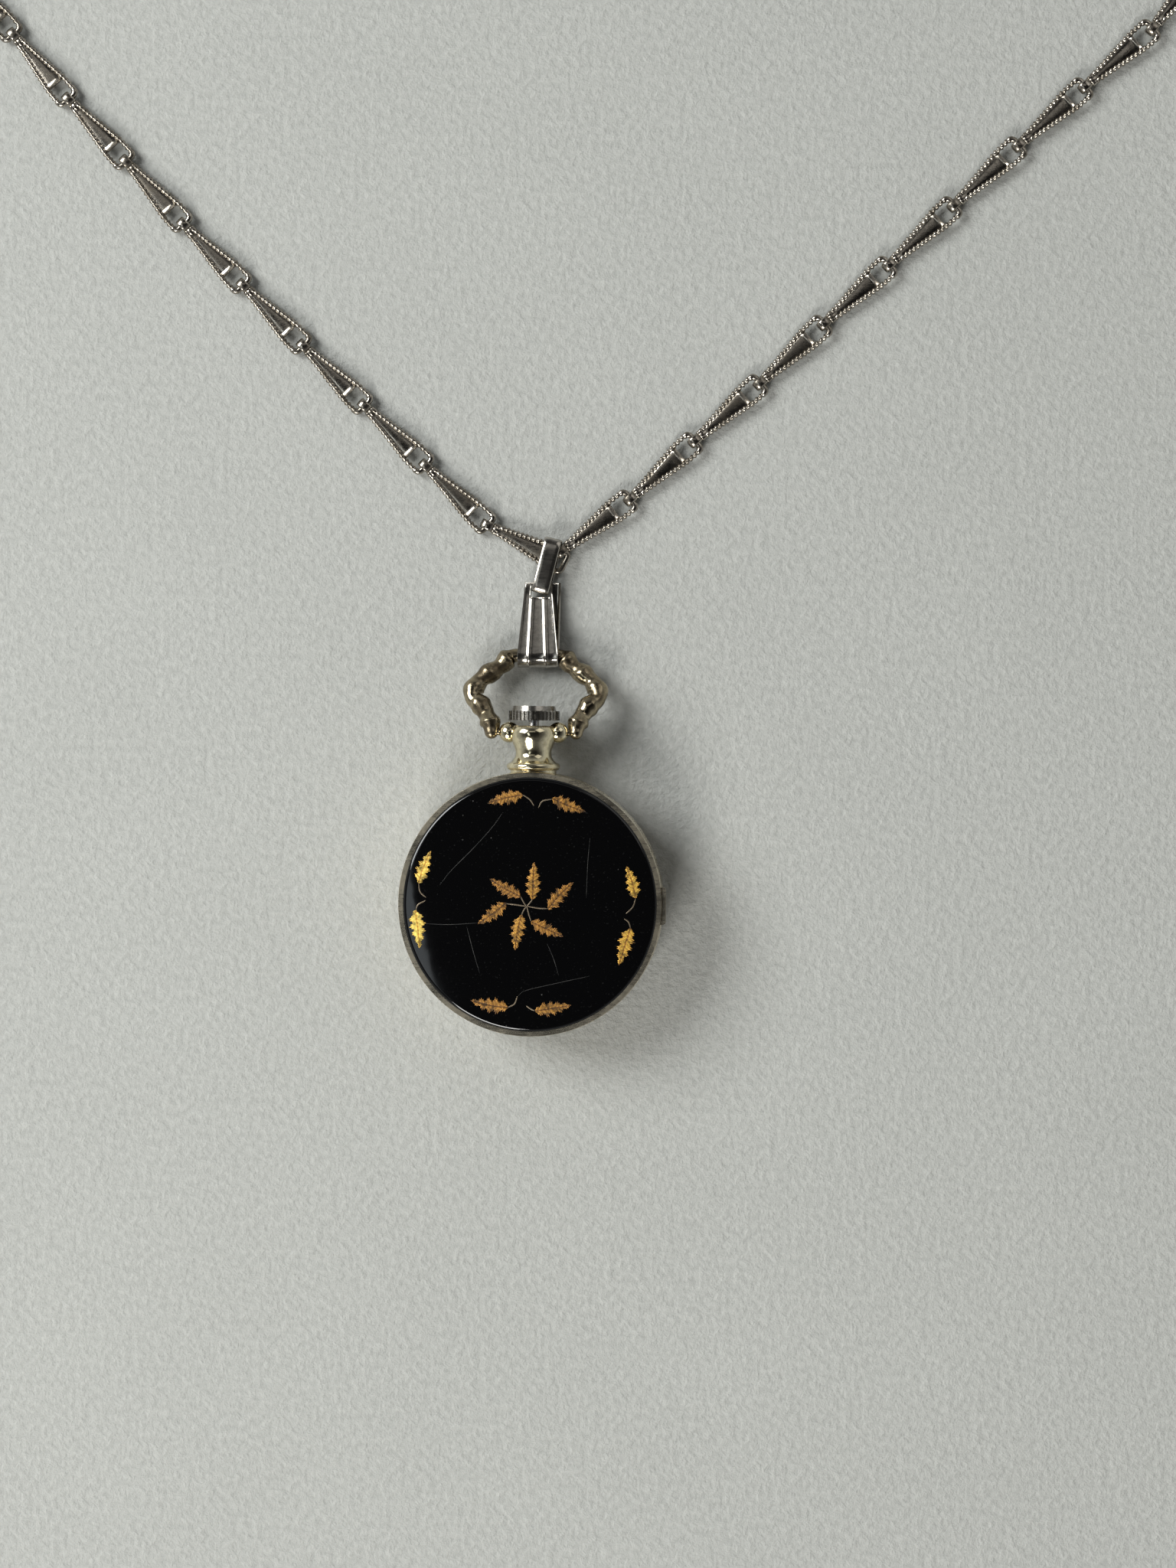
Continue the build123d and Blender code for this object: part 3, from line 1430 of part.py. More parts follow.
def hour_wheel():
    """The wheel whose tube passes the dial and carries the hour hand."""
    radius = hour_module * hour_wheel_teeth / 2
    phase = meshing(
        minute_pinion_teeth, minute_wheel_angle + half_turn, minute_wheel_angle + half_turn,
        hour_wheel_teeth,
    )
    face = gear_outline(hour_wheel_teeth, radius, 2 * hour_module * tooth_height_share, phase)
    wheel = Pos(0, 0, low_motion) * extrude(face, low_motion_end - low_motion)
    tube = disc(hour_tube_radius, hour_hand_height, low_motion_end)
    return wheel + tube - disc(hour_bore, 0, plate_top)


def setting_wheel():
    """The small wheel that links the sliding pinion to the minute wheel when the crown is out."""
    radius = cannon_module * setting_teeth / 2
    phase = meshing(minute_wheel_teeth, minute_wheel_phase, setting_angle, setting_teeth)
    face = gear_outline(setting_teeth, radius, 2 * cannon_module * tooth_height_share, phase)
    face = face - Circle(post_radius + pivot_gap)
    return Pos(setting_at[0], setting_at[1], high_motion) * extrude(face, high_motion_end - high_motion)


# Hand outlines, as shares of the hand's length and half width
hand_side_shares = [
    (-0.18, 0.15), (0.12, 0.18), (0.30, 0.85), (0.48, 1.0), (0.62, 0.55), (0.72, 0.20), (1.0, 0.08),
]


def hand(length, width, bottom, bore, heading):
    """A leaf shaped hand with a round hub."""
    side = [(x * length, y * width / 2) for x, y in hand_side_shares]
    points = side + [(x, -y) for x, y in reversed(side)]
    face = Rot(0, 0, heading) * make_face(Polyline(*points, close=True))
    face = face + Circle(hand_hub_radius) - Circle(bore)
    return Pos(0, 0, bottom) * extrude(face, hand_thick)


hour_hand_heading = 35
minute_hand_heading = 150


def hour_hand():
    """The short hand on the hour wheel's tube."""
    return hand(hour_hand_length, hour_hand_width, hour_hand_height, hour_tube_radius, hour_hand_heading)


def minute_hand():
    """The long hand on the cannon pinion."""
    return hand(
        minute_hand_length, minute_hand_width, minute_hand_height, cannon_tube_radius, minute_hand_heading,
    )


lever_bottom = low_motion
lever_top = low_motion + motion_room * lever_thick_share


def lever(at, end, tip_extra):
    """A flat lever from its pivot to an end point."""
    half = lever_arm / 2
    length = hypot(end[0] - at[0], end[1] - at[1]) + tip_extra
    arm = block(0, length, -half, half, lever_bottom, lever_top)
    body = Pos(at[0], at[1], 0) * Rot(0, 0, direction(at, end)) * arm + disc(
        lever_arm, lever_bottom, lever_top, at,
    )
    return body - disc(post_radius + pivot_gap, lever_bottom - cut_over, lever_top + cut_over, at)


def setting_lever():
    """The lever whose pin stands in the stem's groove."""
    groove_at = (-stem_step_radius - groove_pin_radius, stem_groove_place + stem_groove_width / 2)
    body = lever(setting_lever_at, groove_at, 0)
    pin = disc(groove_pin_radius, lever_bottom, stem_z, (groove_at[0] + stem_groove_depth / 2, groove_at[1]))
    return body + pin


def yoke():
    """The lever whose end rides in the sliding pinion's groove."""
    end = winding_pinion_place - winding_pinion_width / 2 - gear_gap
    middle = end - sliding_pinion_length / 2
    groove_at = (sliding_pinion_radius - groove_pin_radius, middle)
    body = lever(yoke_at, groove_at, groove_pin_radius)
    pin = disc(groove_pin_radius, lever_bottom, stem_z, groove_at)
    return body + pin


def balance_cock():
    """The cock over the balance."""
    return drilled(bridge(balance_cock_shares, balance_cock_feet), [balance_at])


def train_bridge():
    """The bridge over the third, fourth and escape wheels."""
    return drilled(bridge(train_bridge_shares, train_bridge_feet), train_jewels)


def pass_link(template):
    """The link that runs through the strap loop."""
    return link_at(template, chain_start, pass_heading, rise=pass_rise)


def main():
    """Builds every node and writes one file for each."""
    os.makedirs("parts", exist_ok=True)
    template = chain_link()
    near = len(left_headings)
    nodes = {
        "case_band": case_band(), "pendant_neck": pendant_neck(), "bezel": bezel(), "crystal": crystal(),
        "dial": dial(), "movement_ring": movement_ring(), "main_plate": main_plate(),
        "barrel_bridge": barrel_bridge(), "train_bridge": train_bridge(), "balance_cock": balance_cock(),
        "pallet_bridge": pallet_bridge(), "jewels": jewels(), "movement_screws": movement_screws(),
        "case_screws": case_screws(), "rear_cover": rear_cover(), "enamel_plate": enamel_plate(),
        "leaf_inlays": leaf_inlays(), "bow": bow(), "tapered_bail": tapered_bail(),
        "strap_loop": strap_loop(),
        "crown": crown(), "winding_stem": winding_stem(), "crown_gasket": crown_gasket(),
        "winding_pinion": winding_pinion(), "sliding_pinion": sliding_pinion(), "crown_wheel": crown_wheel(),
        "ratchet_wheel": ratchet_wheel(), "click": click(), "click_spring": click_spring(),
        "barrel_drum": barrel_drum(), "barrel_cover": barrel_cover(), "barrel_arbor": barrel_arbor(),
        "mainspring": mainspring(), "centre_wheel": centre_wheel(), "third_wheel": third_wheel(),
        "fourth_wheel": fourth_wheel(), "escape_wheel": escape_wheel(), "pallet_fork": pallet_fork(),
        "balance_wheel": balance_wheel(), "hairspring": hairspring(), "cannon_pinion": cannon_pinion(),
        "minute_wheel": minute_wheel(), "hour_wheel": hour_wheel(), "setting_wheel": setting_wheel(),
        "hour_hand": hour_hand(), "minute_hand": minute_hand(), "setting_lever": setting_lever(),
        "yoke": yoke(),
        "pass_link": pass_link(template),
        "chain_left_near": left_group(template, 0, near_group),
        "chain_left_far": left_group(template, near_group, near),
        "chain_right_near": right_group(template, 0, near_group),
        "chain_right_far": right_group(template, near_group, near),
        "chain_rear_left_a": left_group(template, near, near + rear_left_group),
        "chain_rear_left_b": left_group(template, near + rear_left_group, len(left_all)),
        "chain_rear_right_a": right_group(template, near, near + rear_right_group),
        "chain_rear_right_b": right_group(template, near + rear_right_group, len(right_all)),
        "clasp_body": clasp_body(), "clasp_trigger": clasp_trigger(), "end_ring": end_ring(),
    }
    for name, shape in nodes.items():
        export_step(shape, os.path.join("parts", name + ".step"))


main()
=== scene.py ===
import math

import bpy
import numpy as np
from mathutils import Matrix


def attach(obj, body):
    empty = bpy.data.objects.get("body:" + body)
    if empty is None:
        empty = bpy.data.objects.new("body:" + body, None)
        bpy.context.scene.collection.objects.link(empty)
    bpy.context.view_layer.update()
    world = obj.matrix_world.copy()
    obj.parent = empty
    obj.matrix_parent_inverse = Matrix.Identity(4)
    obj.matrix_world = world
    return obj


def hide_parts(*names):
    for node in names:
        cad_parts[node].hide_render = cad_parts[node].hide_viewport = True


bl_info = {
    "name": "Pendant watch",
    "version": (1, 0, 0),
    "blender": (4, 5, 0),
    "location": "View3D > Sidebar > Watch",
    "description": "Dresses the pendant watch with its enamel, leaves, cast bow, stamped chain and dial",
    "category": "Object",
}

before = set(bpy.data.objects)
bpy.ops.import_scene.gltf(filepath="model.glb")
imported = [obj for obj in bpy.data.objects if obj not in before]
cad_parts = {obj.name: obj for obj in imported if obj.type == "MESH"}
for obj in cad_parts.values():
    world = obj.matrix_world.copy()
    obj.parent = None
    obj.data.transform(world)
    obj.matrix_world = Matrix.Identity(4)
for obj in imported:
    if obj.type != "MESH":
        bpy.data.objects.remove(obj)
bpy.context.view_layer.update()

MM = 0.001

# Places shared with the solids, in millimetres and degrees
ear_y, axis_z = 15.55, 4.128
bar_y, bar_z = 22.556, 1.183
bow_length, bow_half_width, bow_droop = 7.6, 5.68, 22.8
bow_side = [(0.13, 1.0), (0.39, 1.0), (0.57, 0.885), (0.72, 0.785), (0.89, 0.685), (1.0, 0.56),
            (0.99, 0.44), (0.88, 0.345), (0.77, 0.235), (0.70, 0.11), (0.68, 0.0)]
dome_radius, dome_centre, enamel_radius = 132.5, -125.1, 11.5
bail_offset, bail_tilt, bail_turn = 0.12, 1.3, 0.45
strap_end, strap_heading, strap_reach, strap_height = (0.2537, 28.456), 76.0, 2.475, 1.07
link_height, chain_pitch = 0.64, 7.95
chain_start = (-4.72, 34.59)
pass_heading, pass_rise = -26.0, 2.4
hook_point, hook_lift = (2.127, 32.218), 0.3015
left_headings = [136.7, 136.2, 136.1, 135.4, 134.9, 133.1, 133.3, 131.1, 130.5]
left_headings += [130.5 - 10.395 * (k + 1) for k in range(12)] + [0, 0]
right_headings = [37.6, 42.4, 41.8, 43.2, 42.5, 43.0, 43.0, 42.0, 41.0]
right_headings += [41.0 + 10.269 * (k + 1) for k in range(13)] + [180, 180]


# Shapes worked out as whole arrays

def grid_faces(rows, columns, wrap_rows=False, wrap_columns=False):
    """Four-sided faces of a grid numbered row by row, joined round either way where it wraps."""
    i = np.arange(rows if wrap_rows else rows - 1)
    j = np.arange(columns if wrap_columns else columns - 1)
    i, j = np.meshgrid(i, j, indexing="ij")
    i2, j2 = (i + 1) % rows, (j + 1) % columns
    quads = np.stack([i * columns + j, i2 * columns + j, i2 * columns + j2, i * columns + j2], axis=-1)
    return [quads.reshape(-1, 4)]


def new_piece(name, parts, body, material, replaces=(), tone_and_shading=None):
    """Joins (points in millimetres, face arrays) pairs into one smooth mesh object that rides on a body."""
    points, faces = join(parts)
    mesh = bpy.data.meshes.new(name)
    mesh.from_pydata((points * MM).tolist(), [], [face for rows in faces for face in rows.tolist()])
    mesh.polygons.foreach_set("use_smooth", np.ones(len(mesh.polygons), dtype=bool))
    # Per-point values, such as the leaves' tone with painted light and shade, go into a point attribute for
    # the finish
    if tone_and_shading is not None:
        layer = mesh.attributes.new("tone_and_shading", "FLOAT", "POINT")
        layer.data.foreach_set("value", np.concatenate([np.ravel(t) for t in tone_and_shading]).astype(np.float32))
    mesh.update()
    piece = bpy.data.objects.new(name, mesh)
    bpy.context.scene.collection.objects.link(piece)
    mesh.materials.append(material)
    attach(piece, body)
    if replaces:
        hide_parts(*replaces)


def join(parts):
    """Joins (points, face arrays) pairs into one pair."""
    points, faces, start = [], [], 0
    for p, rows in parts:
        p = p.reshape(-1, 3)
        points.append(p)
        faces.extend(row + start for row in rows)
        start += len(p)
    return np.concatenate(points), faces


def turned_over(faces):
    """The same faces with their corners in the other order."""
    return [row[:, ::-1] for row in faces]


def turn(points, degrees, axis="z"):
    """Points turned about an axis by the right hand rule."""
    c, s = math.cos(math.radians(degrees)), math.sin(math.radians(degrees))
    matrix = {
        "x": [[1, 0, 0], [0, c, -s], [0, s, c]],
        "y": [[c, 0, s], [0, 1, 0], [-s, 0, c]],
        "z": [[c, -s, 0], [s, c, 0], [0, 0, 1]],
    }[axis]
    return points @ np.array(matrix).T


def smooth_path(points, count):
    """A path through the points with rounded bends: Catmull-Rom cubics, sampled evenly along their length."""
    points = np.asarray(points, float)
    held = np.vstack([2 * points[0] - points[1], points, 2 * points[-1] - points[-2]])
    t = np.linspace(0, 1, 24, endpoint=False)[:, None]
    a, b, c, d = (held[k:len(held) - 3 + k, None, :] for k in range(4))
    square, cube = 2 * a - 5 * b + 4 * c - d, 3 * b - a - 3 * c + d
    runs = 0.5 * (2 * b + (c - a) * t + square * t ** 2 + cube * t ** 3)
    fine = np.vstack([runs.reshape(-1, points.shape[1]), points[-1]])
    gone = np.concatenate([[0], np.cumsum(np.linalg.norm(np.diff(fine, axis=0), axis=1))])
    want = np.linspace(0, gone[-1], count)
    return np.stack([np.interp(want, gone, fine[:, k]) for k in range(points.shape[1])], axis=1)


def tube(path, radius, sides, up=(0, 0, 1), flat=1.0, closed=False, power=2.0):
    """A tube along a path: ring k is path(k) plus radius(k, angle) times a rounded square of that power."""
    path = np.asarray(path, float)
    if closed:
        along = np.roll(path, -1, axis=0) - np.roll(path, 1, axis=0)
    else:
        along = np.gradient(path, axis=0)
    along /= np.linalg.norm(along, axis=1, keepdims=True)
    across = np.cross(np.asarray(up, float), along)
    across /= np.linalg.norm(across, axis=1, keepdims=True)
    over = np.cross(along, across)
    angle = np.linspace(0, 2 * np.pi, sides, endpoint=False)
    c, s = np.cos(angle), np.sin(angle)
    size = (np.abs(c) ** power + np.abs(s) ** power) ** (-1 / power)
    radius = np.broadcast_to(np.asarray(radius, float), (len(path), sides)) * size
    spoke = c[:, None] * across[:, None] + flat * s[:, None] * over[:, None]
    points = path[:, None] + radius[..., None] * spoke
    faces = turned_over(grid_faces(len(path), sides, closed, True))
    if closed:
        return points, faces
    points = np.vstack([points.reshape(-1, 3), path[:1], path[-1:]])
    return points, faces + caps(len(path), sides)


def caps(rows, columns):
    """Triangles that close the first and last rings of a grid, whose centres come after the grid's points."""
    j = np.arange(columns)
    k = (j + 1) % columns
    first, last = rows * columns, rows * columns + 1
    low = np.stack([np.full(columns, first), k, j], axis=1)
    high = np.stack([np.full(columns, last), (rows - 1) * columns + j, (rows - 1) * columns + k], axis=1)
    return [low, high]


def round_ends(path, radius, steps=6):
    """Half a ball at both ends of a tube's path: a ring r sin a beyond the end has the radius r cos a."""
    a = np.linspace(0, np.pi / 2, steps + 1)[1:, None] * 0.98
    out = [path[0] - path[1], path[-1] - path[-2]]
    out = [line / np.linalg.norm(line) for line in out]
    head = path[0] + out[0] * radius[0].mean() * np.sin(a[::-1])
    tail = path[-1] + out[1] * radius[-1].mean() * np.sin(a)
    rings = [radius[0] * np.cos(a[::-1]), radius, radius[-1] * np.cos(a)]
    return np.vstack([head, path, tail]), np.vstack(rings)


def turned(profile, count):
    """A profile of (radius, height) points carried round the Z axis, from the axis back to the axis."""
    profile = np.asarray(profile, float)
    inner = profile[1:-1]
    angle = np.linspace(0, 2 * np.pi, count, endpoint=False)
    height = np.broadcast_to(inner[:, 1, None], (len(inner), count))
    ring = np.stack([inner[:, 0, None] * np.cos(angle), inner[:, 0, None] * np.sin(angle), height], axis=-1)
    faces = turned_over(grid_faces(len(inner), count, False, True)) + caps(len(inner), count)
    ends = np.array([[0, 0, profile[0, 1]], [0, 0, profile[-1, 1]]])
    return np.vstack([ring.reshape(-1, 3), ends]), faces


def sheet(outer, inner, there):
    """A metal sheet from its two skins, grids of points; cells that aren't there leave a hole with walls."""
    rows, columns = outer.shape[:2]
    number = np.arange(rows * columns).reshape(rows, columns)
    corners = np.stack([number[:-1, :-1], number[1:, :-1], number[1:, 1:], number[:-1, 1:]], axis=-1)
    front = corners[there]
    back = front[:, ::-1] + rows * columns
    walls = []
    for axis in (0, 1):
        shown = np.pad(there, [(1, 1), (0, 0)] if axis == 0 else [(0, 0), (1, 1)])
        change = np.diff(shown.astype(int), axis=axis)
        if axis == 0:
            a, b = number[:, :-1], number[:, 1:]
        else:
            a, b = number[1:, :], number[:-1, :]
        for step in (1, -1):
            p, q = (a, b) if step == 1 else (b, a)
            p, q = p[change == step], q[change == step]
            walls.append(np.stack([p, q, q + rows * columns, p + rows * columns], axis=1)[:, ::-1])
    return np.vstack([outer.reshape(-1, 3), inner.reshape(-1, 3)]), [front, back, *walls]


def dome_height(x, y):
    """Height of the enamel dome over a place."""
    return np.sqrt(dome_radius ** 2 - x ** 2 - y ** 2) + dome_centre


# Finishes

def group(name, inputs, outputs):
    """An empty shader node group with the named inputs and outputs."""
    tree = bpy.data.node_groups.new(name, "ShaderNodeTree")
    for label, kind, value in inputs:
        socket = tree.interface.new_socket(label, in_out="INPUT", socket_type=kind)
        socket.default_value = value
    for label, kind in outputs:
        tree.interface.new_socket(label, in_out="OUTPUT", socket_type=kind)
    return tree, tree.nodes.new("NodeGroupInput"), tree.nodes.new("NodeGroupOutput")


def feed(tree, socket, value):
    """Links a source socket to an input, or sets the input to a value."""
    if isinstance(value, bpy.types.NodeSocket):
        tree.links.new(value, socket)
    else:
        socket.default_value = value


def add(tree, kind, links=(), **settings):
    """A node with its settings, and (input, source socket or value) pairs for its inputs."""
    node = tree.nodes.new(kind)
    for key, value in settings.items():
        setattr(node, key, value)
    for label, value in links:
        feed(tree, node.inputs[label], value)
    return node


def ramp(tree, factor, stops):
    """A colour ramp from (place, grey or colour) stops."""
    node = add(tree, "ShaderNodeValToRGB", [("Fac", factor)])
    first = node.color_ramp.elements
    while len(first) < len(stops):
        first.new(0.5)
    for element, (place, value) in zip(first, stops):
        element.position = place
        element.color = (value, value, value, 1) if isinstance(value, (int, float)) else (*value, 1)
    return node.outputs["Color"]


def mix(tree, factor, a, b, blend="MIX"):
    """A colour mixed from two."""
    node = add(tree, "ShaderNodeMix", [("Factor", factor)], data_type="RGBA", blend_type=blend)
    feed(tree, node.inputs[6], a)
    feed(tree, node.inputs[7], b)
    return node.outputs[2]


def maths(tree, operation, a, b=0.0):
    """A number worked out from two."""
    node = add(tree, "ShaderNodeMath", operation=operation)
    feed(tree, node.inputs[0], a)
    feed(tree, node.inputs[1], b)
    return node.outputs[0]


def place_of(tree):
    """The place on the object, in its own coordinates."""
    return add(tree, "ShaderNodeTexCoord").outputs["Object"]


def noise(tree, place, scale, detail, roughness=0.5):
    """Cloudy noise over places."""
    return add(tree, "ShaderNodeTexNoise", [("Vector", place), ("Scale", scale), ("Detail", detail),
                                            ("Roughness", roughness)]).outputs["Fac"]


def worn_metal_group():
    """Rubbed metal: cloudy tarnish, fine scratches and pits in colour, roughness and height."""
    tree, source, sink = group(
        "Rubbed metal",
        [("Bright", "NodeSocketColor", (0.8, 0.7, 0.5, 1)),
         ("Tarnish", "NodeSocketColor", (0.2, 0.16, 0.1, 1)), ("Amount", "NodeSocketFloat", 0.5),
         ("Scale", "NodeSocketFloat", 900.0), ("Polish", "NodeSocketFloat", 0.2)],
        [("Colour", "NodeSocketColor"), ("Roughness", "NodeSocketFloat"), ("Height", "NodeSocketFloat")],
    )
    place = place_of(tree)
    scale = source.outputs["Scale"]
    cloud = noise(tree, place, scale, 5.0, 0.62)
    fine = noise(tree, place, maths(tree, "MULTIPLY", scale, 7.0), 3.0)
    stretch = add(tree, "ShaderNodeMapping", [("Vector", place), ("Scale", (1.0, 9.0, 3.0)),
                                              ("Rotation", (0.0, 0.0, 0.6))]).outputs["Vector"]
    scratch = noise(tree, stretch, maths(tree, "MULTIPLY", scale, 3.0), 4.0)
    patch = ramp(tree, cloud, [(0.34, 1.0), (0.62, 0.0)])
    share = maths(tree, "MULTIPLY", patch, source.outputs["Amount"])
    colour = mix(tree, share, source.outputs["Bright"], source.outputs["Tarnish"])
    speck = ramp(tree, fine, [(0.30, 0.78), (0.55, 1.0)])
    colour = mix(tree, 1.0, colour, speck, "MULTIPLY")
    tree.links.new(colour, sink.inputs["Colour"])
    rough = maths(tree, "ADD", source.outputs["Polish"], maths(tree, "MULTIPLY", share, 0.28))
    rough = maths(tree, "ADD", rough, maths(tree, "MULTIPLY", scratch, 0.16))
    tree.links.new(rough, sink.inputs["Roughness"])
    height = maths(tree, "ADD", maths(tree, "MULTIPLY", fine, 0.6), maths(tree, "MULTIPLY", scratch, 0.4))
    tree.links.new(height, sink.inputs["Height"])
    return tree


effects = {}


def effect(tree, name, maker, values):
    """A node in a material for a shared effect, with its own values."""
    if name not in effects:
        effects[name] = maker()
    node = add(tree, "ShaderNodeGroup", node_tree=effects[name])
    for label, value in values.items():
        node.inputs[label].default_value = value
    return node


def blank_material(name, view_colour):
    """A material with a Principled shader, and the colour that plain views show."""
    material = bpy.data.materials.new(name)
    material.use_nodes = True
    material.diffuse_color = (*view_colour, 1)
    tree = material.node_tree
    shader = next(n for n in tree.nodes if n.type == "BSDF_PRINCIPLED")
    return material, tree, shader


def bump(tree, shader, height, strength, distance):
    """Feeds a height into the shader's normal."""
    node = add(tree, "ShaderNodeBump", [("Height", height), ("Strength", strength), ("Distance", distance)])
    tree.links.new(node.outputs["Normal"], shader.inputs["Normal"])


def metal(name, bright, tarnish, amount, scale, polish, strength=0.25, distance=0.00004):
    """A rubbed metal, bright where it is handled and dulled by an amount of tarnish."""
    material, tree, shader = blank_material(name, bright)
    node = effect(tree, "Rubbed metal", worn_metal_group, {
        "Bright": (*bright, 1), "Tarnish": (*tarnish, 1), "Amount": amount, "Scale": scale, "Polish": polish,
    })
    tree.links.new(node.outputs["Colour"], shader.inputs["Base Color"])
    tree.links.new(node.outputs["Roughness"], shader.inputs["Roughness"])
    shader.inputs["Metallic"].default_value = 1.0
    bump(tree, shader, node.outputs["Height"], strength, distance)
    return material


def enamel_finish():
    """Deep black fired enamel: glossy, faintly uneven, with dust-fine pinholes."""
    material, tree, shader = blank_material("black enamel", (0.01, 0.01, 0.011))
    place = place_of(tree)
    swell = noise(tree, place, 220.0, 2.0)
    pinhole = ramp(tree, noise(tree, place, 5200.0, 2.0), [(0.66, 0.0), (0.74, 1.0)])
    colour = mix(tree, pinhole, (0.0018, 0.0018, 0.002, 1), (0.012, 0.012, 0.012, 1))
    tree.links.new(colour, shader.inputs["Base Color"])
    tree.links.new(ramp(tree, swell, [(0.35, 0.03), (0.7, 0.06)]), shader.inputs["Roughness"])
    shader.inputs["IOR"].default_value = 1.5
    bump(tree, shader, swell, 0.1, 0.0001)
    return material


def foil_finish():
    """Gilt foil under a thin flux: warm and bright by each leaf's tone with painted highlight and shade in
    it, wrinkled, and darker at the veins as painted shade.
    """
    material, tree, shader = blank_material("gilt foil", (0.8, 0.6, 0.25))
    tone_and_shading = add(tree, "ShaderNodeAttribute", attribute_name="tone_and_shading").outputs["Fac"]
    wrinkle = noise(tree, place_of(tree), 1500.0, 6.0, 0.7)
    leaf = ramp(tree, tone_and_shading, [(0.0, (0.07, 0.03, 0.006)), (0.3, (0.30, 0.13, 0.025)),
                             (0.55, (0.56, 0.28, 0.05)), (0.8, (0.86, 0.52, 0.08)), (1.0, (1.0, 0.76, 0.17))])
    # Painted shade: the colour darkens where the wrinkle noise, which is also the bump's height, is low, so
    # the wrinkles' hollows read shaded
    shade = ramp(tree, wrinkle, [(0.40, 0.20), (0.5, 0.75), (0.60, 1.0)])
    tree.links.new(mix(tree, 1.0, leaf, shade, "MULTIPLY"), shader.inputs["Base Color"])
    tree.links.new(ramp(tree, wrinkle, [(0.3, 0.5), (0.7, 0.3)]), shader.inputs["Roughness"])
    shader.inputs["Metallic"].default_value = 0.45
    bump(tree, shader, wrinkle, 0.9, 0.00012)
    return material


def plate_finish():
    """Frosted gilt plates with fine straight graining."""
    bright, dims, stripe = (0.80, 0.70, 0.46), (0.55, 0.5, 0.42), 900.0
    material, tree, shader = blank_material("frosted gilt plate", bright)
    node = effect(tree, "Rubbed metal", worn_metal_group, {
        "Bright": (*bright, 1), "Tarnish": (*(b * dim for b, dim in zip(bright, dims)), 1),
        "Amount": 0.25, "Scale": 700.0, "Polish": 0.24,
    })
    feeds = [("Vector", place_of(tree)), ("Scale", stripe), ("Distortion", 0.4)]
    wave = add(tree, "ShaderNodeTexWave", feeds, wave_type="BANDS",
               bands_direction="DIAGONAL").outputs["Fac"]
    tree.links.new(node.outputs["Colour"], shader.inputs["Base Color"])
    tree.links.new(maths(tree, "ADD", node.outputs["Roughness"], maths(tree, "MULTIPLY", wave, 0.1)),
                   shader.inputs["Roughness"])
    shader.inputs["Metallic"].default_value = 1.0
    bump(tree, shader, maths(tree, "ADD", node.outputs["Height"], wave), 0.2, 0.00003)
    return material


def glass_finish():
    """Clear crystal with a trace of polish marks."""
    material, tree, shader = blank_material("watch crystal", (0.9, 0.93, 0.93))
    marks = noise(tree, place_of(tree), 900.0, 4.0)
    shader.inputs["Base Color"].default_value = (0.95, 0.97, 0.97, 1)
    tree.links.new(ramp(tree, marks, [(0.45, 0.0), (0.8, 0.05)]), shader.inputs["Roughness"])
    shader.inputs["Transmission Weight"].default_value = 1.0
    shader.inputs["IOR"].default_value = 1.5
    return material


def grained(name, view_colour, scale, detail, colours, roughness, strength=0.0):
    """A finish with its colour over a fine grain, a roughness or stops for it, and a strength of bump."""
    material, tree, shader = blank_material(name, view_colour)
    grain = noise(tree, place_of(tree), scale, detail)
    tree.links.new(ramp(tree, grain, colours), shader.inputs["Base Color"])
    rough = ramp(tree, grain, roughness) if isinstance(roughness, list) else roughness
    feed(tree, shader.inputs["Roughness"], rough)
    if strength:
        bump(tree, shader, grain, strength, 0.00003)
    return material


def table_finish():
    """Pale grey table paper with a fine grain."""
    material, tree, shader = blank_material("table paper", (0.5, 0.5, 0.5))
    place = place_of(tree)
    grain = noise(tree, place, 1500.0, 5.0, 0.65)
    blotch = noise(tree, place, 60.0, 3.0)
    base = settings().table_colour
    low = tuple(0.85 * c for c in base)
    colour = ramp(tree, grain, [(0.36, low), (0.64, tuple(base))])
    colour = mix(tree, 1.0, colour, ramp(tree, blotch, [(0.3, 0.97), (0.7, 1.0)]), "MULTIPLY")
    tree.links.new(colour, shader.inputs["Base Color"])
    shader.inputs["Roughness"].default_value = 0.85
    bump(tree, shader, grain, 0.6, 0.0004)
    return material


finishes = {}


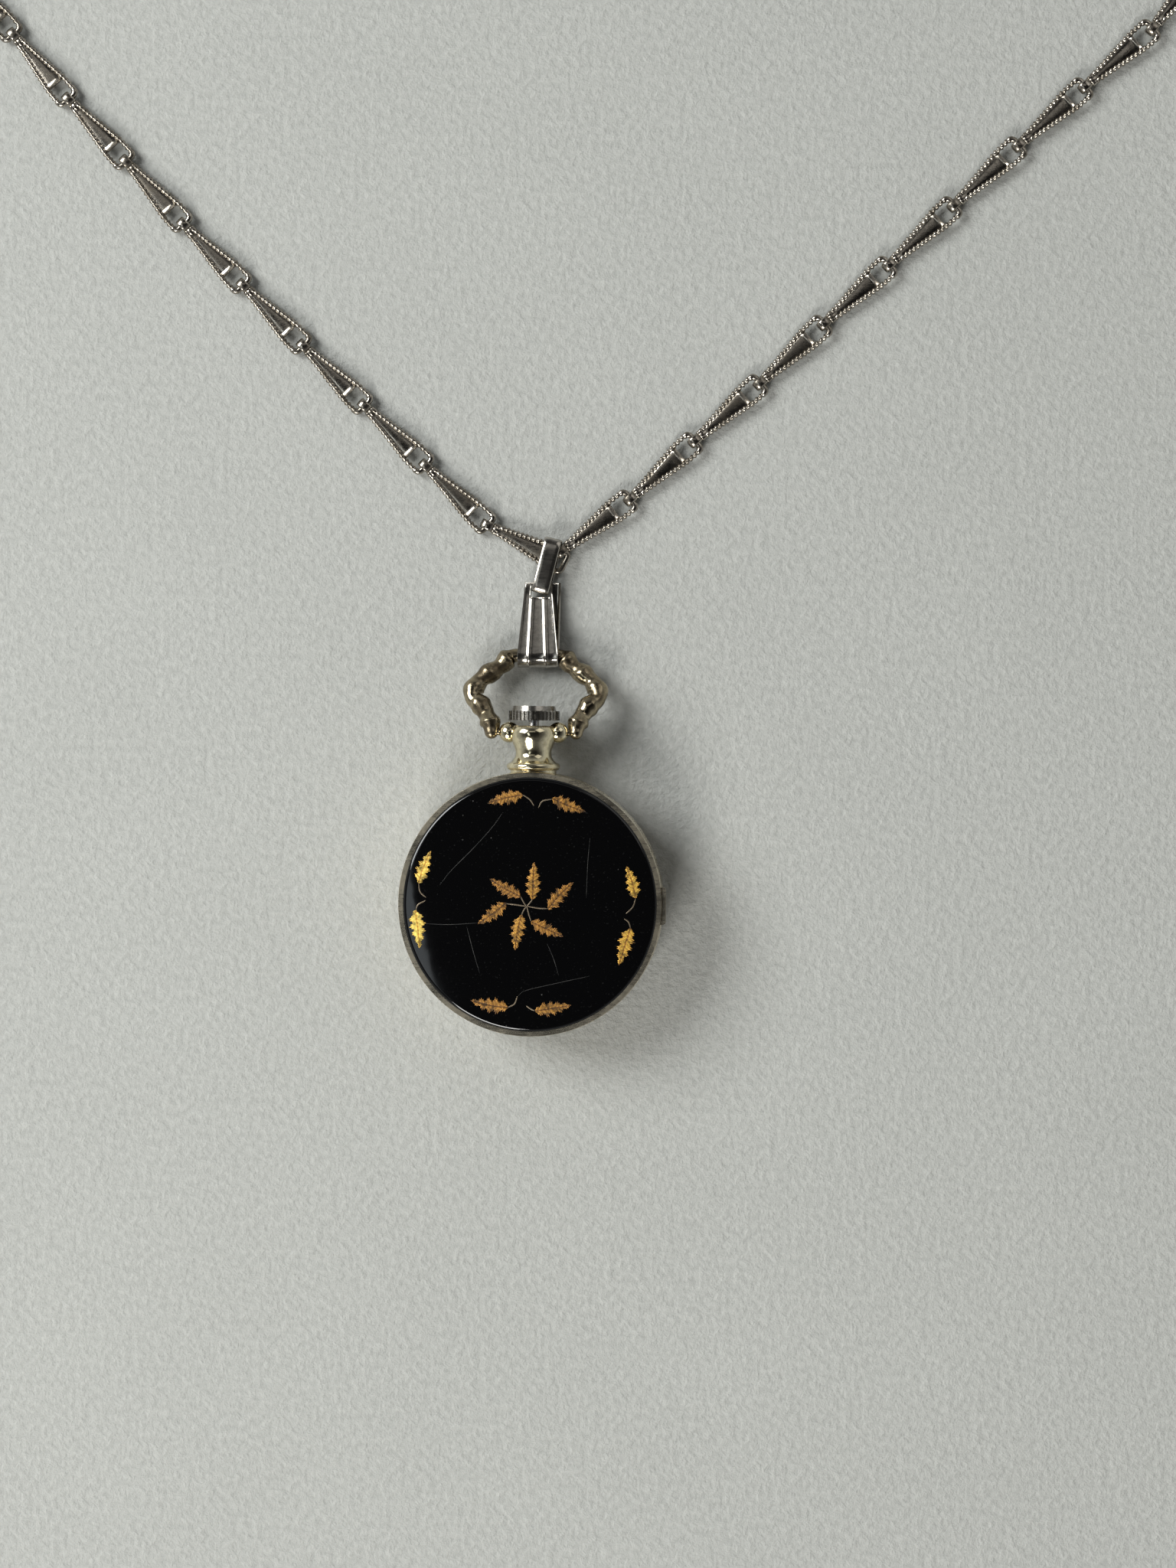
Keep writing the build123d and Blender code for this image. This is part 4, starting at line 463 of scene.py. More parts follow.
def recipes():
    """Every finish by name, as a function that makes it; metals as bright, tarnish, amount, scale, polish."""
    s = settings()
    metals = {
        "gilt case": (s.gilt_colour, (0.42, 0.34, 0.22), 0.45, 260.0, 0.13, 0.15),
        "gilt neck": ((0.82, 0.74, 0.52), (0.40, 0.31, 0.17), 0.3, 420.0, 0.03, 0.1),
        # The crown's bright silver is darkened as painted shade for the lower light on the crown; its tarnish
        # is separate
        "silver crown with painted shade": ((0.42, 0.40, 0.36), (0.10, 0.085, 0.07), 0.6, 900.0, 0.10),
        "cast bow": ((0.44, 0.37, 0.25), (0.09, 0.065, 0.038), 0.8, 620.0, 0.04, 0.4),
        "chain metal": (s.chain_colour, (0.10, 0.08, 0.055), 0.7, 700.0, 0.05),
        "bail metal": ((0.52, 0.49, 0.44), (0.26, 0.23, 0.19), 0.4, 300.0, 0.06, 0.1),
        "stem foil": ((0.26, 0.21, 0.15), (0.10, 0.075, 0.05), 0.6, 1500.0, 0.35),
        "wheel brass": ((0.85, 0.66, 0.30), (0.4, 0.28, 0.1), 0.2, 900.0, 0.18),
        "polished steel": ((0.55, 0.55, 0.57), (0.25, 0.25, 0.26), 0.25, 1200.0, 0.16),
        "blued steel": ((0.05, 0.07, 0.22), (0.02, 0.02, 0.06), 0.3, 900.0, 0.2),
    }
    found = {name: lambda name=name: metal(name, *metals[name]) for name in metals}
    found.update({
        "black enamel": enamel_finish,
        "gilt foil": foil_finish,
        "crack dust": lambda: grained(
            "crack dust", (0.1, 0.1, 0.1), 1400.0, 3.0,
            [(0.36, (0.006, 0.006, 0.006)), (0.66, (0.05, 0.047, 0.043))], 0.5),
        "frosted gilt plate": plate_finish,
        "ruby": lambda: grained(
            "ruby", (0.5, 0.02, 0.08), 2600.0, 2.0, [(0.3, (0.35, 0.008, 0.05)), (0.7, (0.62, 0.03, 0.12))],
            0.06),
        "watch crystal": glass_finish,
        "ivory dial": lambda: grained(
            "ivory dial", (0.88, 0.85, 0.76), 600.0, 6.0,
            [(0.3, (0.80, 0.76, 0.66)), (0.7, (0.90, 0.87, 0.79))], [(0.3, 0.5), (0.7, 0.36)], 0.1),
        "dial print": lambda: grained(
            "dial print", (0.02, 0.02, 0.02), 3000.0, 3.0,
            [(0.3, (0.008, 0.008, 0.01)), (0.8, (0.04, 0.038, 0.035))], 0.4),
        "seal rubber": lambda: grained(
            "seal rubber", (0.03, 0.03, 0.03), 4000.0, 4.0, [(0.3, 0.015), (0.7, 0.05)], 0.75, 0.3),
        "table paper": table_finish,
    })
    return found


def finish(name):
    """The named finish, made the first time it is asked for."""
    if name not in finishes:
        finishes[name] = recipes()[name]()
    return finishes[name]


def dress(nodes, name):
    """Gives CAD nodes a finish."""
    for node in nodes:
        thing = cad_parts[node]
        for slot in thing.material_slots:
            slot.material = finish(name)


def settings():
    """The user's sizes and colours."""
    return bpy.context.scene.watch_settings


# Pieces: each mesh function works in millimetres, and its class places the piece on its body

class WatchSettings(bpy.types.PropertyGroup):
    """Sizes and colours of the dressed watch."""

    gilt_colour: bpy.props.FloatVectorProperty(
        name="Gilt", description="Colour of the rubbed gilt case", subtype="COLOR", size=3,
        default=(0.84, 0.76, 0.60), min=0, max=1)
    chain_colour: bpy.props.FloatVectorProperty(
        name="Chain", description="Colour of the chain where it is rubbed bright", subtype="COLOR", size=3,
        default=(0.46, 0.42, 0.36), min=0, max=1)
    table_colour: bpy.props.FloatVectorProperty(
        name="Table", description="Colour of the table paper", subtype="COLOR", size=3,
        default=(0.485, 0.490, 0.462), min=0, max=1)
    cut_pitch: bpy.props.FloatProperty(
        name="Rope cut", description="Distance between the cuts along a link's rails", unit="LENGTH",
        default=0.00045, min=0.0001)
    cut_depth: bpy.props.FloatProperty(
        name="Cut depth", description="Depth of the cuts in a link's rails", unit="LENGTH",
        default=0.00019, min=0)
    lump_height: bpy.props.FloatProperty(
        name="Bow lumps", description="Height of the cast lumps on the bow", unit="LENGTH",
        default=0.00013, min=0)


def link_mesh():
    """One stamped link along +X.

    The rails and the end bar are one tube that runs out, round the wide end and back, its radius cut by a
    slanted saw wave like a rope. The panel between them is a thin strip raised in the middle, and the eye is
    a flat strip carried round a long ring.
    """
    s = settings()
    wide, narrow, hole_length = 0.95, 0.26, 1.8
    hole_start = chain_pitch - hole_length
    neck_end, flare = (2.4, narrow + 0.20), (hole_start - 0.6, wide - 0.07)
    half = [
        (0.62, narrow, 0), (*neck_end, 0), (*flare, 0), (hole_start + 0.2, wide, 0),
        (chain_pitch - 0.35, wide, 0), (chain_pitch - 0.06, wide - 0.18, 0), (chain_pitch, wide - 0.42, 0),
    ]
    points = [*half, (chain_pitch, 0, 0), *[(x, -y, z) for x, y, z in reversed(half)]]
    path = smooth_path(points, 176)
    sides, rail_radius, swelling = 10, 0.255, 0.03
    gone = np.concatenate([[0], np.cumsum(np.linalg.norm(np.diff(path, axis=0), axis=1))])
    angle = np.linspace(0, 2 * np.pi, sides, endpoint=False)
    rope = gone[:, None] / (s.cut_pitch / MM) + angle[None] / (2 * np.pi)
    saw = np.abs((rope % 1.0) * 2 - 1)
    on_rail = np.clip((chain_pitch - 0.30 - path[:, 0]) / 0.4, 0, 1)[:, None]
    start = np.clip((path[:, 0] - 0.7) / 0.8, 0, 1)[:, None]
    radius = rail_radius + swelling * start - (s.cut_depth / MM) * (1 - saw) ** 1.3 * on_rail * start
    rails = tube(path, radius, sides, flat=1.06, power=2.6)
    panel_start, rows, columns = 0.5, 12, 7
    x = np.linspace(panel_start, hole_start, rows)
    stops = [panel_start, neck_end[0], flare[0], hole_start]
    inner = np.interp(x, stops, [narrow, neck_end[1], flare[1], wide - 0.02])
    v = np.linspace(-1, 1, columns)
    along = np.broadcast_to(x[:, None], (rows, columns))
    crowned = np.broadcast_to(0.17 - 0.15 * v[None] ** 4, (rows, columns))
    top = np.stack([along, inner[:, None] * v[None], crowned], axis=-1)
    under = top.copy()
    under[..., 2] = -0.16 + 0.02 * v[None] ** 2
    loop = np.concatenate([top, under[:, ::-1]], axis=1)
    last = 2 * columns - 1
    end = np.array([[j, j + 1, last - 1 - j, last - j] for j in range(columns - 1)])
    far_end = (end + (rows - 1) * 2 * columns)[:, ::-1]
    tray = (loop.reshape(-1, 3), [*turned_over(grid_faces(rows, 2 * columns, False, True)), end, far_end])
    count, long_half, high_half = 28, 0.57, 0.46
    eye_radius, eye_spread, eye_half = 0.105, 4.3, 0.425
    a = np.linspace(0, 2 * np.pi, count, endpoint=False)
    squared = np.sign(np.cos(a)) * np.abs(np.cos(a)) ** 0.3
    ring_x = (long_half - high_half) * squared + high_half * np.cos(a)
    ring = np.stack([ring_x, np.zeros(count), high_half * np.sin(a)], axis=1)
    eye_points, eye_faces = tube(ring, eye_radius, sides, up=(0, 1, 0), closed=True, power=3.0)
    eye_points[..., 1] = np.clip(eye_points[..., 1] * eye_spread, -eye_half, eye_half)
    neck_path = np.array([[0.52, 0, 0], [0.9, 0, 0], [1.6, 0, 0]])
    neck_radius = np.array([0.36, 0.34, 0.2])[:, None]
    neck = tube(neck_path, neck_radius, sides, flat=0.8, power=3.0)
    return join([rails, tray, (eye_points, eye_faces), neck])


def place_link(points, start, heading, lift=0.0, rise=0.0):
    """A link's points turned to its rise and heading and set on its eye's place."""
    found = turn(turn(points, -rise, "y"), heading, "z")
    return found + np.array([start[0], start[1], link_height + lift])


def walk(start, headings):
    """Places reached by stepping one pitch along each heading."""
    steps = chain_pitch * np.stack([np.cos(np.radians(headings)), np.sin(np.radians(headings))], axis=1)
    return np.vstack([start, start + np.cumsum(steps, axis=0)])


class WATCH_OT_chain(bpy.types.Operator):
    """Builds the rope-cut links of every run of the chain"""

    bl_idname = "watch.chain"
    bl_label = "Chain"

    def execute(self, context):
        points, faces = link_mesh()
        left = walk(np.array(chain_start), left_headings)
        right = walk(np.array(hook_point), right_headings)
        fall = -math.degrees(math.atan2(hook_lift, chain_pitch))
        runs = [
            ("left_near", 0, 4), ("left_far", 4, 9), ("rear_left_a", 9, 16), ("rear_left_b", 16, 23),
            ("right_near", 0, 4), ("right_far", 4, 9), ("rear_right_a", 9, 16), ("rear_right_b", 16, 24),
        ]
        for body, first, last in runs:
            parts = []
            for k in range(first, last):
                if "left" in body:
                    place = place_link(points, left[k + 1], left_headings[k] + 180)
                elif k == 0:
                    place = place_link(points, right[0], right_headings[0], hook_lift, fall)
                else:
                    place = place_link(points, right[k], right_headings[k])
                parts.append((place, faces))
            new_piece("links_" + body, parts, body, finish("chain metal"), ("chain_" + body,))
        passing = [(place_link(points, chain_start, pass_heading, 0.0, pass_rise), faces)]
        new_piece("link_pass", passing, "pass_link", finish("chain metal"), ("pass_link",))
        dress(["clasp_body", "clasp_trigger", "end_ring"], "bail metal")
        return {"FINISHED"}


class WATCH_OT_bow(bpy.types.Operator):
    """Builds the cast twig bow, lumpy along its length, with its two pins"""

    bl_idname = "watch.bow"
    bl_label = "Bow"

    def execute(self, context):
        right = [(x * bow_half_width, v * bow_length, 0) for x, v in bow_side]
        path = smooth_path([(-x, v, z) for x, v, z in reversed(right)] + right, 300)
        sides, wire_radius, thickening, bail_side = 24, 0.63, 0.24, 2.3
        step = np.linalg.norm(path[1] - path[0])
        gone = np.abs(np.arange(len(path)) - (len(path) - 1) / 2)[:, None] * step
        angle = np.linspace(0, 2 * np.pi, sides, endpoint=False)[None]
        off_bar = np.clip((gone - bail_side) / 0.5, 0, 1) * np.clip((gone.max() - gone) / 0.9, 0, 1)
        knots = 0.8 * np.cos(2 * np.pi * (gone - 2.9) / 2.05)
        slanted = 0.4 * np.cos(2 * np.pi * gone / 2.7 - angle + 1.0)
        fine = 0.15 * np.cos(2 * np.pi * gone / 0.9 + 2 * angle)
        lump = settings().lump_height / MM
        radius = wire_radius + off_bar * (thickening + lump * (knots + slanted + fine))
        twig = tube(*round_ends(path, radius), sides)
        pins = []
        pin_radius, pin_end, pin_steps = 0.295, 2.78, 6
        for side in (-1, 1):
            run = np.linspace(side * bow_side[-1][0] * bow_half_width, side * pin_end, pin_steps)
            rest = np.zeros(pin_steps)
            pins.append(tube(np.stack([run, rest, rest], axis=1), pin_radius, 16))
        points, faces = join([twig, *pins])
        points = turn(points, -bow_droop, "x") + np.array([0, ear_y, axis_z])
        new_piece("bow_twig", [(points, faces)], "bow", finish("cast bow"), ("bow",))
        return {"FINISHED"}


def bail_mesh():
    """The bail's strip, its fold round the X axis and its legs along +Y.

    Seen from the side, the skins run down the front leg, half round the bar and up the back leg. Across, a
    point is the leg's shift plus its half width times v. The front skin is hollowed into three flutes with
    raised edges.
    """
    inner_radius, thick, top_gap, length = 0.74, 0.35, 0.10, 6.75
    bottom_half, front_narrowing, back_narrowing, back_shift = 1.875, 0.675, 0.425, 0.6
    slot_low, slot_high = 5.4, 6.4
    ridge_at, ridge_height, flute_depth, edge_drop = 0.42, 0.06, 0.10, 0.05
    leg = np.array([
        length, 6.58, slot_high, 6.15, 5.9, 5.65, slot_low, 5.2, 4.6, 3.8, 3.0, 2.2, 1.4, 0.7, 0.3,
    ])
    bend = np.linspace(90, 270, 19)
    y = np.concatenate([leg, np.zeros(len(bend)), leg[::-1]])
    part = np.concatenate([np.zeros(len(leg)), np.linspace(0, 1, len(bend)), np.ones(len(leg))])
    gap = np.interp(np.abs(y), [0, length], [inner_radius, top_gap])[:, None]
    turned_by = np.radians(np.concatenate([np.full(len(leg), 90), bend, np.full(len(leg), 270)]))
    out_y, out_z = np.cos(turned_by)[:, None], np.sin(turned_by)[:, None]
    up = np.clip(y / length, 0, 1)
    half = bottom_half + up * np.where(part < 0.5, -front_narrowing, -back_narrowing)
    shift = up * np.where(part < 0.5, 0.0, back_shift)
    hole_left, hole_right = -0.541, 0.821
    slot_left = np.interp(part, [0, 1], [hole_left, -0.811])
    slot_right = np.interp(part, [0, 1], [hole_right, 0.353])
    v = np.concatenate([
        np.linspace(-1, hole_left, 9), np.linspace(hole_left, hole_right, 25)[1:], [0.88, 0.94, 1.0],
    ])
    share = np.array([np.interp(v, [-1, hole_left, hole_right, 1], row) for row in np.eye(4)])
    across = share[0][None] * -1 + slot_left[:, None] * share[1] + slot_right[:, None] * share[2] + share[3]
    x = shift[:, None] + half[:, None] * across
    place = np.interp(across, [-1.0, -ridge_at, ridge_at, 1.0], [0, 1, 2, 3])
    flute = np.abs(np.sin(np.pi * place)) ** 0.7
    ridge = np.exp(-((np.abs(across) - ridge_at) / 0.05) ** 2)
    shown = np.clip(1.6 - 2.2 * part, 0, 1)[:, None] * np.clip((slot_high - y) / 0.6, 0, 1)[:, None]
    dropped = edge_drop * np.clip((np.abs(across) - 0.93) / 0.07, 0, 1)
    relief = shown * (ridge_height * ridge - flute_depth * flute) - dropped
    skins = []
    for reach in (gap + thick + relief, np.broadcast_to(gap, x.shape)):
        skins.append(np.stack([x, y[:, None] + out_y * reach, out_z * reach], axis=-1))
    middle_y, middle_v = (y[1:] + y[:-1]) / 2, (v[1:] + v[:-1]) / 2
    in_slot = (middle_y > slot_low) & (middle_y < slot_high)
    in_hole = (middle_v > hole_left) & (middle_v < hole_right)
    return sheet(*skins, ~(in_slot[:, None] & in_hole[None]))


def strap_mesh():
    """The strap, a band along X: a rounded rectangle carried round, with its width along Y."""
    count, corner, outer_half, outer_high, inner_half, inner_high = 72, 0.42, 2.62, 1.045, 2.325, 0.755
    angle = np.linspace(0, 2 * np.pi, count, endpoint=False)
    c, s = np.cos(angle), np.sin(angle)
    round_x, round_z = np.sign(c) * np.abs(c) ** corner, np.sign(s) * np.abs(s) ** corner
    round_x, round_z = round_x[:, None], round_z[:, None]
    width = np.array([-0.785, -0.70, -0.35, 0.0, 0.35, 0.70, 0.785])
    worn = np.array([0.07, 0.01, 0.0, 0.0, 0.0, 0.01, 0.07])
    across = np.broadcast_to(width, (count, len(width)))
    skin = np.stack([round_x * (outer_half - worn), across, round_z * (outer_high - worn)], axis=-1)
    lining = skin.copy()[:, ::-1]
    lining[..., 0], lining[..., 2] = round_x * inner_half, round_z * inner_high
    points = np.concatenate([skin, lining], axis=1).reshape(-1, 3)
    return points, grid_faces(count, 2 * len(width), True, True)


class WATCH_OT_bail(bpy.types.Operator):
    """Builds the fluted bail and the strap loop that the chain runs through"""

    bl_idname = "watch.bail"
    bl_label = "Bail and strap"

    def execute(self, context):
        bright = finish("bail metal")
        points, faces = bail_mesh()
        points = turn(turn(points, -bail_tilt, "x"), bail_turn, "z") + np.array([bail_offset, bar_y, bar_z])
        new_piece("bail_fluted", [(points, faces)], "bail", bright, ("tapered_bail",))
        points, faces = strap_mesh()
        heading = math.radians(strap_heading)
        reach = strap_reach * np.array([math.cos(heading), math.sin(heading), 0])
        points = turn(points, strap_heading, "z") + reach + np.array([*strap_end, strap_height])
        new_piece("strap_band", [(points, faces)], "strap", bright, ("strap_loop",))
        return {"FINISHED"}


def leaf_mesh(base, tip, tone_and_shading, seed):
    """A foil leaf on the dome, and its points' tone, with painted light and shade in it.

    A point is base plus u along the leaf plus v times the half width across it. The half width swells to a
    third of the length and tapers to the tip, times a wave of five lobes a side and one of fine teeth. The
    height is the dome's plus a thin foil that sinks at the middle vein and rises and falls along the ribs.
    """
    rows, columns, widest = 96, 13, 0.205
    base, tip = np.array(base), np.array(tip)
    length = np.linalg.norm(tip - base)
    along = (tip - base) / length
    across = np.array([-along[1], along[0]])
    u = np.linspace(0, 1, rows)[:, None]
    v = np.linspace(-1, 1, columns)[None]
    side = np.sign(v)
    swell_at = [0, 0.05, 0.16, 0.33, 0.55, 0.76, 0.9, 1.0]
    swell = np.interp(u[:, 0], swell_at, [0.15, 0.5, 0.88, 1, 0.85, 0.55, 0.3, 0.03])[:, None]
    lobes = 0.5 + 0.5 * np.cos(2 * np.pi * (5.1 * u + 0.17 * side + 0.13 * seed))
    teeth = 1 + 0.17 * np.sin(2 * np.pi * 19 * u + 2.1 * seed + side)
    half = widest * swell * (0.56 + 0.44 * lobes ** 0.8) * teeth
    bend = 0.035 * np.sin(1.7 * seed) * np.sin(np.pi * u)
    swept = 0.2 * np.abs(v) * half
    xy = base + length * ((u + swept)[..., None] * along + (half * v + bend)[..., None] * across)
    vein = np.exp(-(v * half / 0.016) ** 2)
    ribs = 0.5 + 0.5 * np.sin((u - 0.5 * np.abs(v) * half) * 64 + seed)
    lift = 0.030 - 0.012 * vein + 0.006 * ribs - 0.022 * np.abs(v) ** 6
    z = dome_height(xy[..., 0], xy[..., 1]) + lift
    # Painted light and shade: lighter on the ribs' crests, darker in their troughs, darker in the sunken
    # middle vein, and darker at the edges where the foil sinks
    shade = tone_and_shading + 0.22 * (ribs - 0.5) - 0.45 * vein - 0.25 * np.abs(v) ** 8
    points = np.concatenate([xy, z[..., None]], axis=2)
    return (points, grid_faces(rows, columns)), np.clip(shade, 0.02, 1)


def strip_on_dome(points, width, lift, count=24):
    """A narrow strip laid on the dome along a smooth path, tapering at both ends."""
    path = smooth_path(np.asarray(points, float), count)
    along = np.gradient(path, axis=0)
    along /= np.linalg.norm(along, axis=1, keepdims=True)
    across = np.stack([-along[:, 1], along[:, 0]], axis=1)
    taper = np.sqrt(np.clip(1 - np.abs(np.linspace(-1, 1, count)) ** 3, 0.03, 1)) * width / 2
    v = np.linspace(-1, 1, 3)
    xy = path[:, None] + across[:, None] * (taper[:, None] * v[None])[..., None]
    z = dome_height(xy[..., 0], xy[..., 1]) + lift * (1 - 0.8 * v[None] ** 2)
    return np.concatenate([xy, z[..., None]], axis=2), grid_faces(count, 3)


def speck_on_dome(x, y, radius):
    """A speck of dust: a small ring of points about a place on the dome, closed by a cap."""
    sides, top, rim = 9, 0.014, (0.012, -0.002)
    angle = np.linspace(0, 2 * np.pi, sides, endpoint=False)
    rings = np.array([0.35, 1.0])[:, None] * radius * (1 + 0.2 * np.sin(3 * angle))
    px, py = x + rings * np.cos(angle), y + rings * np.sin(angle)
    z = dome_height(px, py) + np.array(rim)[:, None]
    points = np.vstack([np.stack([px, py, z], axis=-1).reshape(-1, 3), [x, y, dome_height(x, y) + top]])
    j = np.arange(sides)
    cap = np.stack([np.full(sides, 2 * sides), j, (j + 1) % sides], axis=1)
    return points, [*grid_faces(2, sides, False, True), cap]


class WATCH_OT_enamel(bpy.types.Operator):
    """Builds the black enamel dome, its gilt leaves and stems and its hairline cracks"""

    bl_idname = "watch.enamel"
    bl_label = "Enamel and leaves"

    def execute(self, context):
        rim, floor, rings, sides = enamel_radius - 0.02, 6.52, 40, 160
        profile = [(a, dome_height(a, 0)) for a in np.linspace(0, rim, rings)]
        dome = turned([(0, floor), (rim, floor), *reversed(profile)], sides)
        new_piece("enamel_dome", [dome], "cover", finish("black enamel"), ("enamel_plate",))
        # Each leaf is base, tip and tone; the tones of the four leaves at the left and right are raised as
        # painted highlight
        leaves = [
            ((0.30, 0.51), (0.42, 3.86), 0.55), ((1.71, -0.35), (3.97, 2.08), 0.43),
            ((0.20, -1.49), (3.13, -2.81), 0.42), ((-0.66, -0.92), (-1.22, -4.13), 0.55),
            ((-2.09, 0.15), (-4.65, -1.80), 0.46), ((-0.77, 0.75), (-3.61, 2.33), 0.38),
            ((-0.71, 9.92), (-3.90, 9.11), 0.46), ((1.98, 9.62), (5.0, 8.44), 0.46),
            ((-10.08, 1.81), (-8.99, 4.74), 0.92), ((-10.37, -0.63), (-9.94, -4.07), 1.0),
            ((9.59, 0.71), (8.73, 3.60), 0.78), ((9.17, -2.01), (8.14, -5.36), 0.74),
            ((-1.83, -9.31), (-5.26, -8.73), 0.42), ((0.60, -9.60), (3.86, -9.03), 0.48),
        ]
        parts, leaf_tones_and_shading = [], []
        for k, (base, tip, tone_and_shading) in enumerate(leaves):
            part, shade = leaf_mesh(base, tip, tone_and_shading, k)
            parts.append(part)
            leaf_tones_and_shading.append(shade)
        new_piece("leaf_foils", parts, "cover", finish("gilt foil"), ("leaf_inlays",), leaf_tones_and_shading)
        stems = [
            [(0.30, 0.51), (0.09, 0.21), (-0.20, -0.12)], [(1.71, -0.31), (0.83, -0.28), (-0.20, -0.12)],
            [(0.20, -1.49), (-0.04, -0.76), (-0.20, -0.12)], [(-0.66, -0.92), (-0.47, -0.47), (-0.20, -0.12)],
            [(-2.09, 0.09), (-1.21, 0.0), (-0.27, -0.12)], [(-0.77, 0.75), (-0.53, 0.30), (-0.27, -0.12)],
            [(-0.71, 9.92), (-0.06, 9.50), (0.34, 8.93)], [(1.98, 9.56), (1.11, 9.36), (0.73, 8.74)],
            [(-10.08, 1.81), (-9.93, 1.03), (-9.38, 0.52)], [(-10.31, -0.63), (-10.12, -0.14), (-9.43, 0.26)],
            [(9.59, 0.67), (9.35, -0.07), (8.74, -0.71)], [(9.17, -2.01), (8.97, -1.43), (8.55, -1.14)],
            [(-1.83, -9.31), (-1.25, -8.95), (-1.0, -8.26)], [(0.60, -9.60), (0.21, -9.41), (-0.22, -9.13)],
        ]
        stem_width, stem_lift, crack_width, crack_lift, crack_rows = 0.11, 0.024, 0.04, 0.004, 40
        parts = [strip_on_dome(line, stem_width, stem_lift) for line in stems]
        new_piece("leaf_stems", parts, "cover", finish("stem foil"))
        cracks = [
            [(-2.48, 8.31), (-3.43, 6.95), (-5.17, 4.99), (-7.10, 3.02), (-8.17, 1.65)],
            [(-9.42, -1.84), (-7.25, -1.88), (-4.71, -1.70)],
            [(-5.64, -2.06), (-5.08, -4.14), (-4.44, -6.27)],
            [(1.64, -3.45), (2.23, -4.80), (2.72, -6.35)],
            [(-0.96, -8.26), (-0.28, -7.76), (2.15, -7.14), (5.53, -6.36)],
            [(5.42, 6.08), (5.25, 3.76), (5.15, 0.66)],
        ]
        specks = [
            (-6.1, 5.8, 0.07), (-3.5, 6.0, 0.06), (-6.1, 8.0, 0.05), (2.5, 7.9, 0.06), (1.2, -8.1, 0.08),
            (-7.3, -9.3, 0.06), (-5.2, 9.3, 0.06), (8.0, 3.3, 0.05), (-2.0, -11.0, 0.06),
        ]
        parts = [strip_on_dome(line, crack_width, crack_lift, crack_rows) for line in cracks]
        parts += [speck_on_dome(*place) for place in specks]
        new_piece("enamel_cracks", parts, "cover", finish("crack dust"))
        return {"FINISHED"}


class WATCH_OT_case(bpy.types.Operator):
    """Gives the case, neck, crown and crystal their finishes"""

    bl_idname = "watch.case"
    bl_label = "Case"

    def execute(self, context):
        dress(["case_band", "bezel", "rear_cover"], "gilt case")
        dress(["pendant_neck"], "gilt neck")
        dress(["crown"], "silver crown with painted shade")
        dress(["crystal"], "watch crystal")
        dress(["crown_gasket"], "seal rubber")
        return {"FINISHED"}


def polar(degrees):
    """The directions outward and along a circle at an angle."""
    a = math.radians(degrees)
    return np.array([math.cos(a), math.sin(a)]), np.array([-math.sin(a), math.cos(a)])


def numeral_mesh(context, number, size):
    """A numeral as flat points and faces, turned from a text curve."""
    curve = bpy.data.curves.new("numeral", "FONT")
    curve.body = str(number)
    curve.size = size
    curve.align_x = "CENTER"
    curve.align_y = "CENTER"
    curve.resolution_u = 4
    holder = bpy.data.objects.new("numeral", curve)
    bpy.context.scene.collection.objects.link(holder)
    mesh = bpy.data.meshes.new_from_object(holder.evaluated_get(context.evaluated_depsgraph_get()))
    flat = np.empty(len(mesh.vertices) * 3)
    mesh.vertices.foreach_get("co", flat)
    faces = [np.array([p.vertices]) for p in mesh.polygons]
    bpy.data.objects.remove(holder)
    return flat.reshape(-1, 3), faces


class WATCH_OT_dial(bpy.types.Operator):
    """Prints the dial's numerals and minute track and gives the hands their blue"""

    bl_idname = "watch.dial"
    bl_label = "Dial"

    def execute(self, context):
        dress(["dial"], "ivory dial")
        dress(["hour_hand", "minute_hand"], "blued steel")
        print_height = 2.296
        track_outer, long_inner, short_inner, long_half, short_half = 8.15, 7.55, 7.85, 0.07, 0.035
        numeral_circle, numeral_size, numeral_width = 6.35, 2.0, 0.95
        parts = []
        for k in range(60):
            along, across = polar(90 + 6 * k)
            inner, half = (long_inner, long_half) if k % 5 == 0 else (short_inner, short_half)
            xy = np.array([[along * r + across * w for w in (-half, half)] for r in (inner, track_outer)])
            xyz = np.concatenate([xy, np.full((2, 2, 1), print_height)], axis=2)
            parts.append((xyz, turned_over(grid_faces(2, 2))))
        new_piece("minute_track", parts, "case", finish("dial print"))
        for number in range(1, 13):
            flat, faces = numeral_mesh(context, number, numeral_size)
            along, _ = polar(90 + 30 * number)
            x = -flat[:, 0] * numeral_width + numeral_circle * along[0]
            y = flat[:, 1] + numeral_circle * along[1]
            place = np.stack([x, y, np.full(len(flat), print_height)], axis=1)
            new_piece("numeral_%d" % number, [(place, faces)], "case", finish("dial print"))
        return {"FINISHED"}


class WATCH_OT_movement(bpy.types.Operator):
    """Gives the movement's plates, wheels, steel and jewels their finishes"""

    bl_idname = "watch.movement"
    bl_label = "Movement"

    def execute(self, context):
        dress(["main_plate", "barrel_bridge", "train_bridge", "balance_cock", "pallet_bridge",
               "movement_ring"], "frosted gilt plate")
        dress(["barrel_drum", "barrel_cover", "centre_wheel", "third_wheel", "fourth_wheel", "balance_wheel",
               "hour_wheel", "minute_wheel", "setting_wheel"], "wheel brass")
        dress(["winding_stem", "winding_pinion", "sliding_pinion", "crown_wheel", "ratchet_wheel", "click",
               "click_spring", "barrel_arbor", "mainspring", "escape_wheel", "pallet_fork", "cannon_pinion",
               "setting_lever", "yoke", "case_screws"], "polished steel")
        dress(["movement_screws", "hairspring"], "blued steel")
        dress(["jewels"], "ruby")
        return {"FINISHED"}


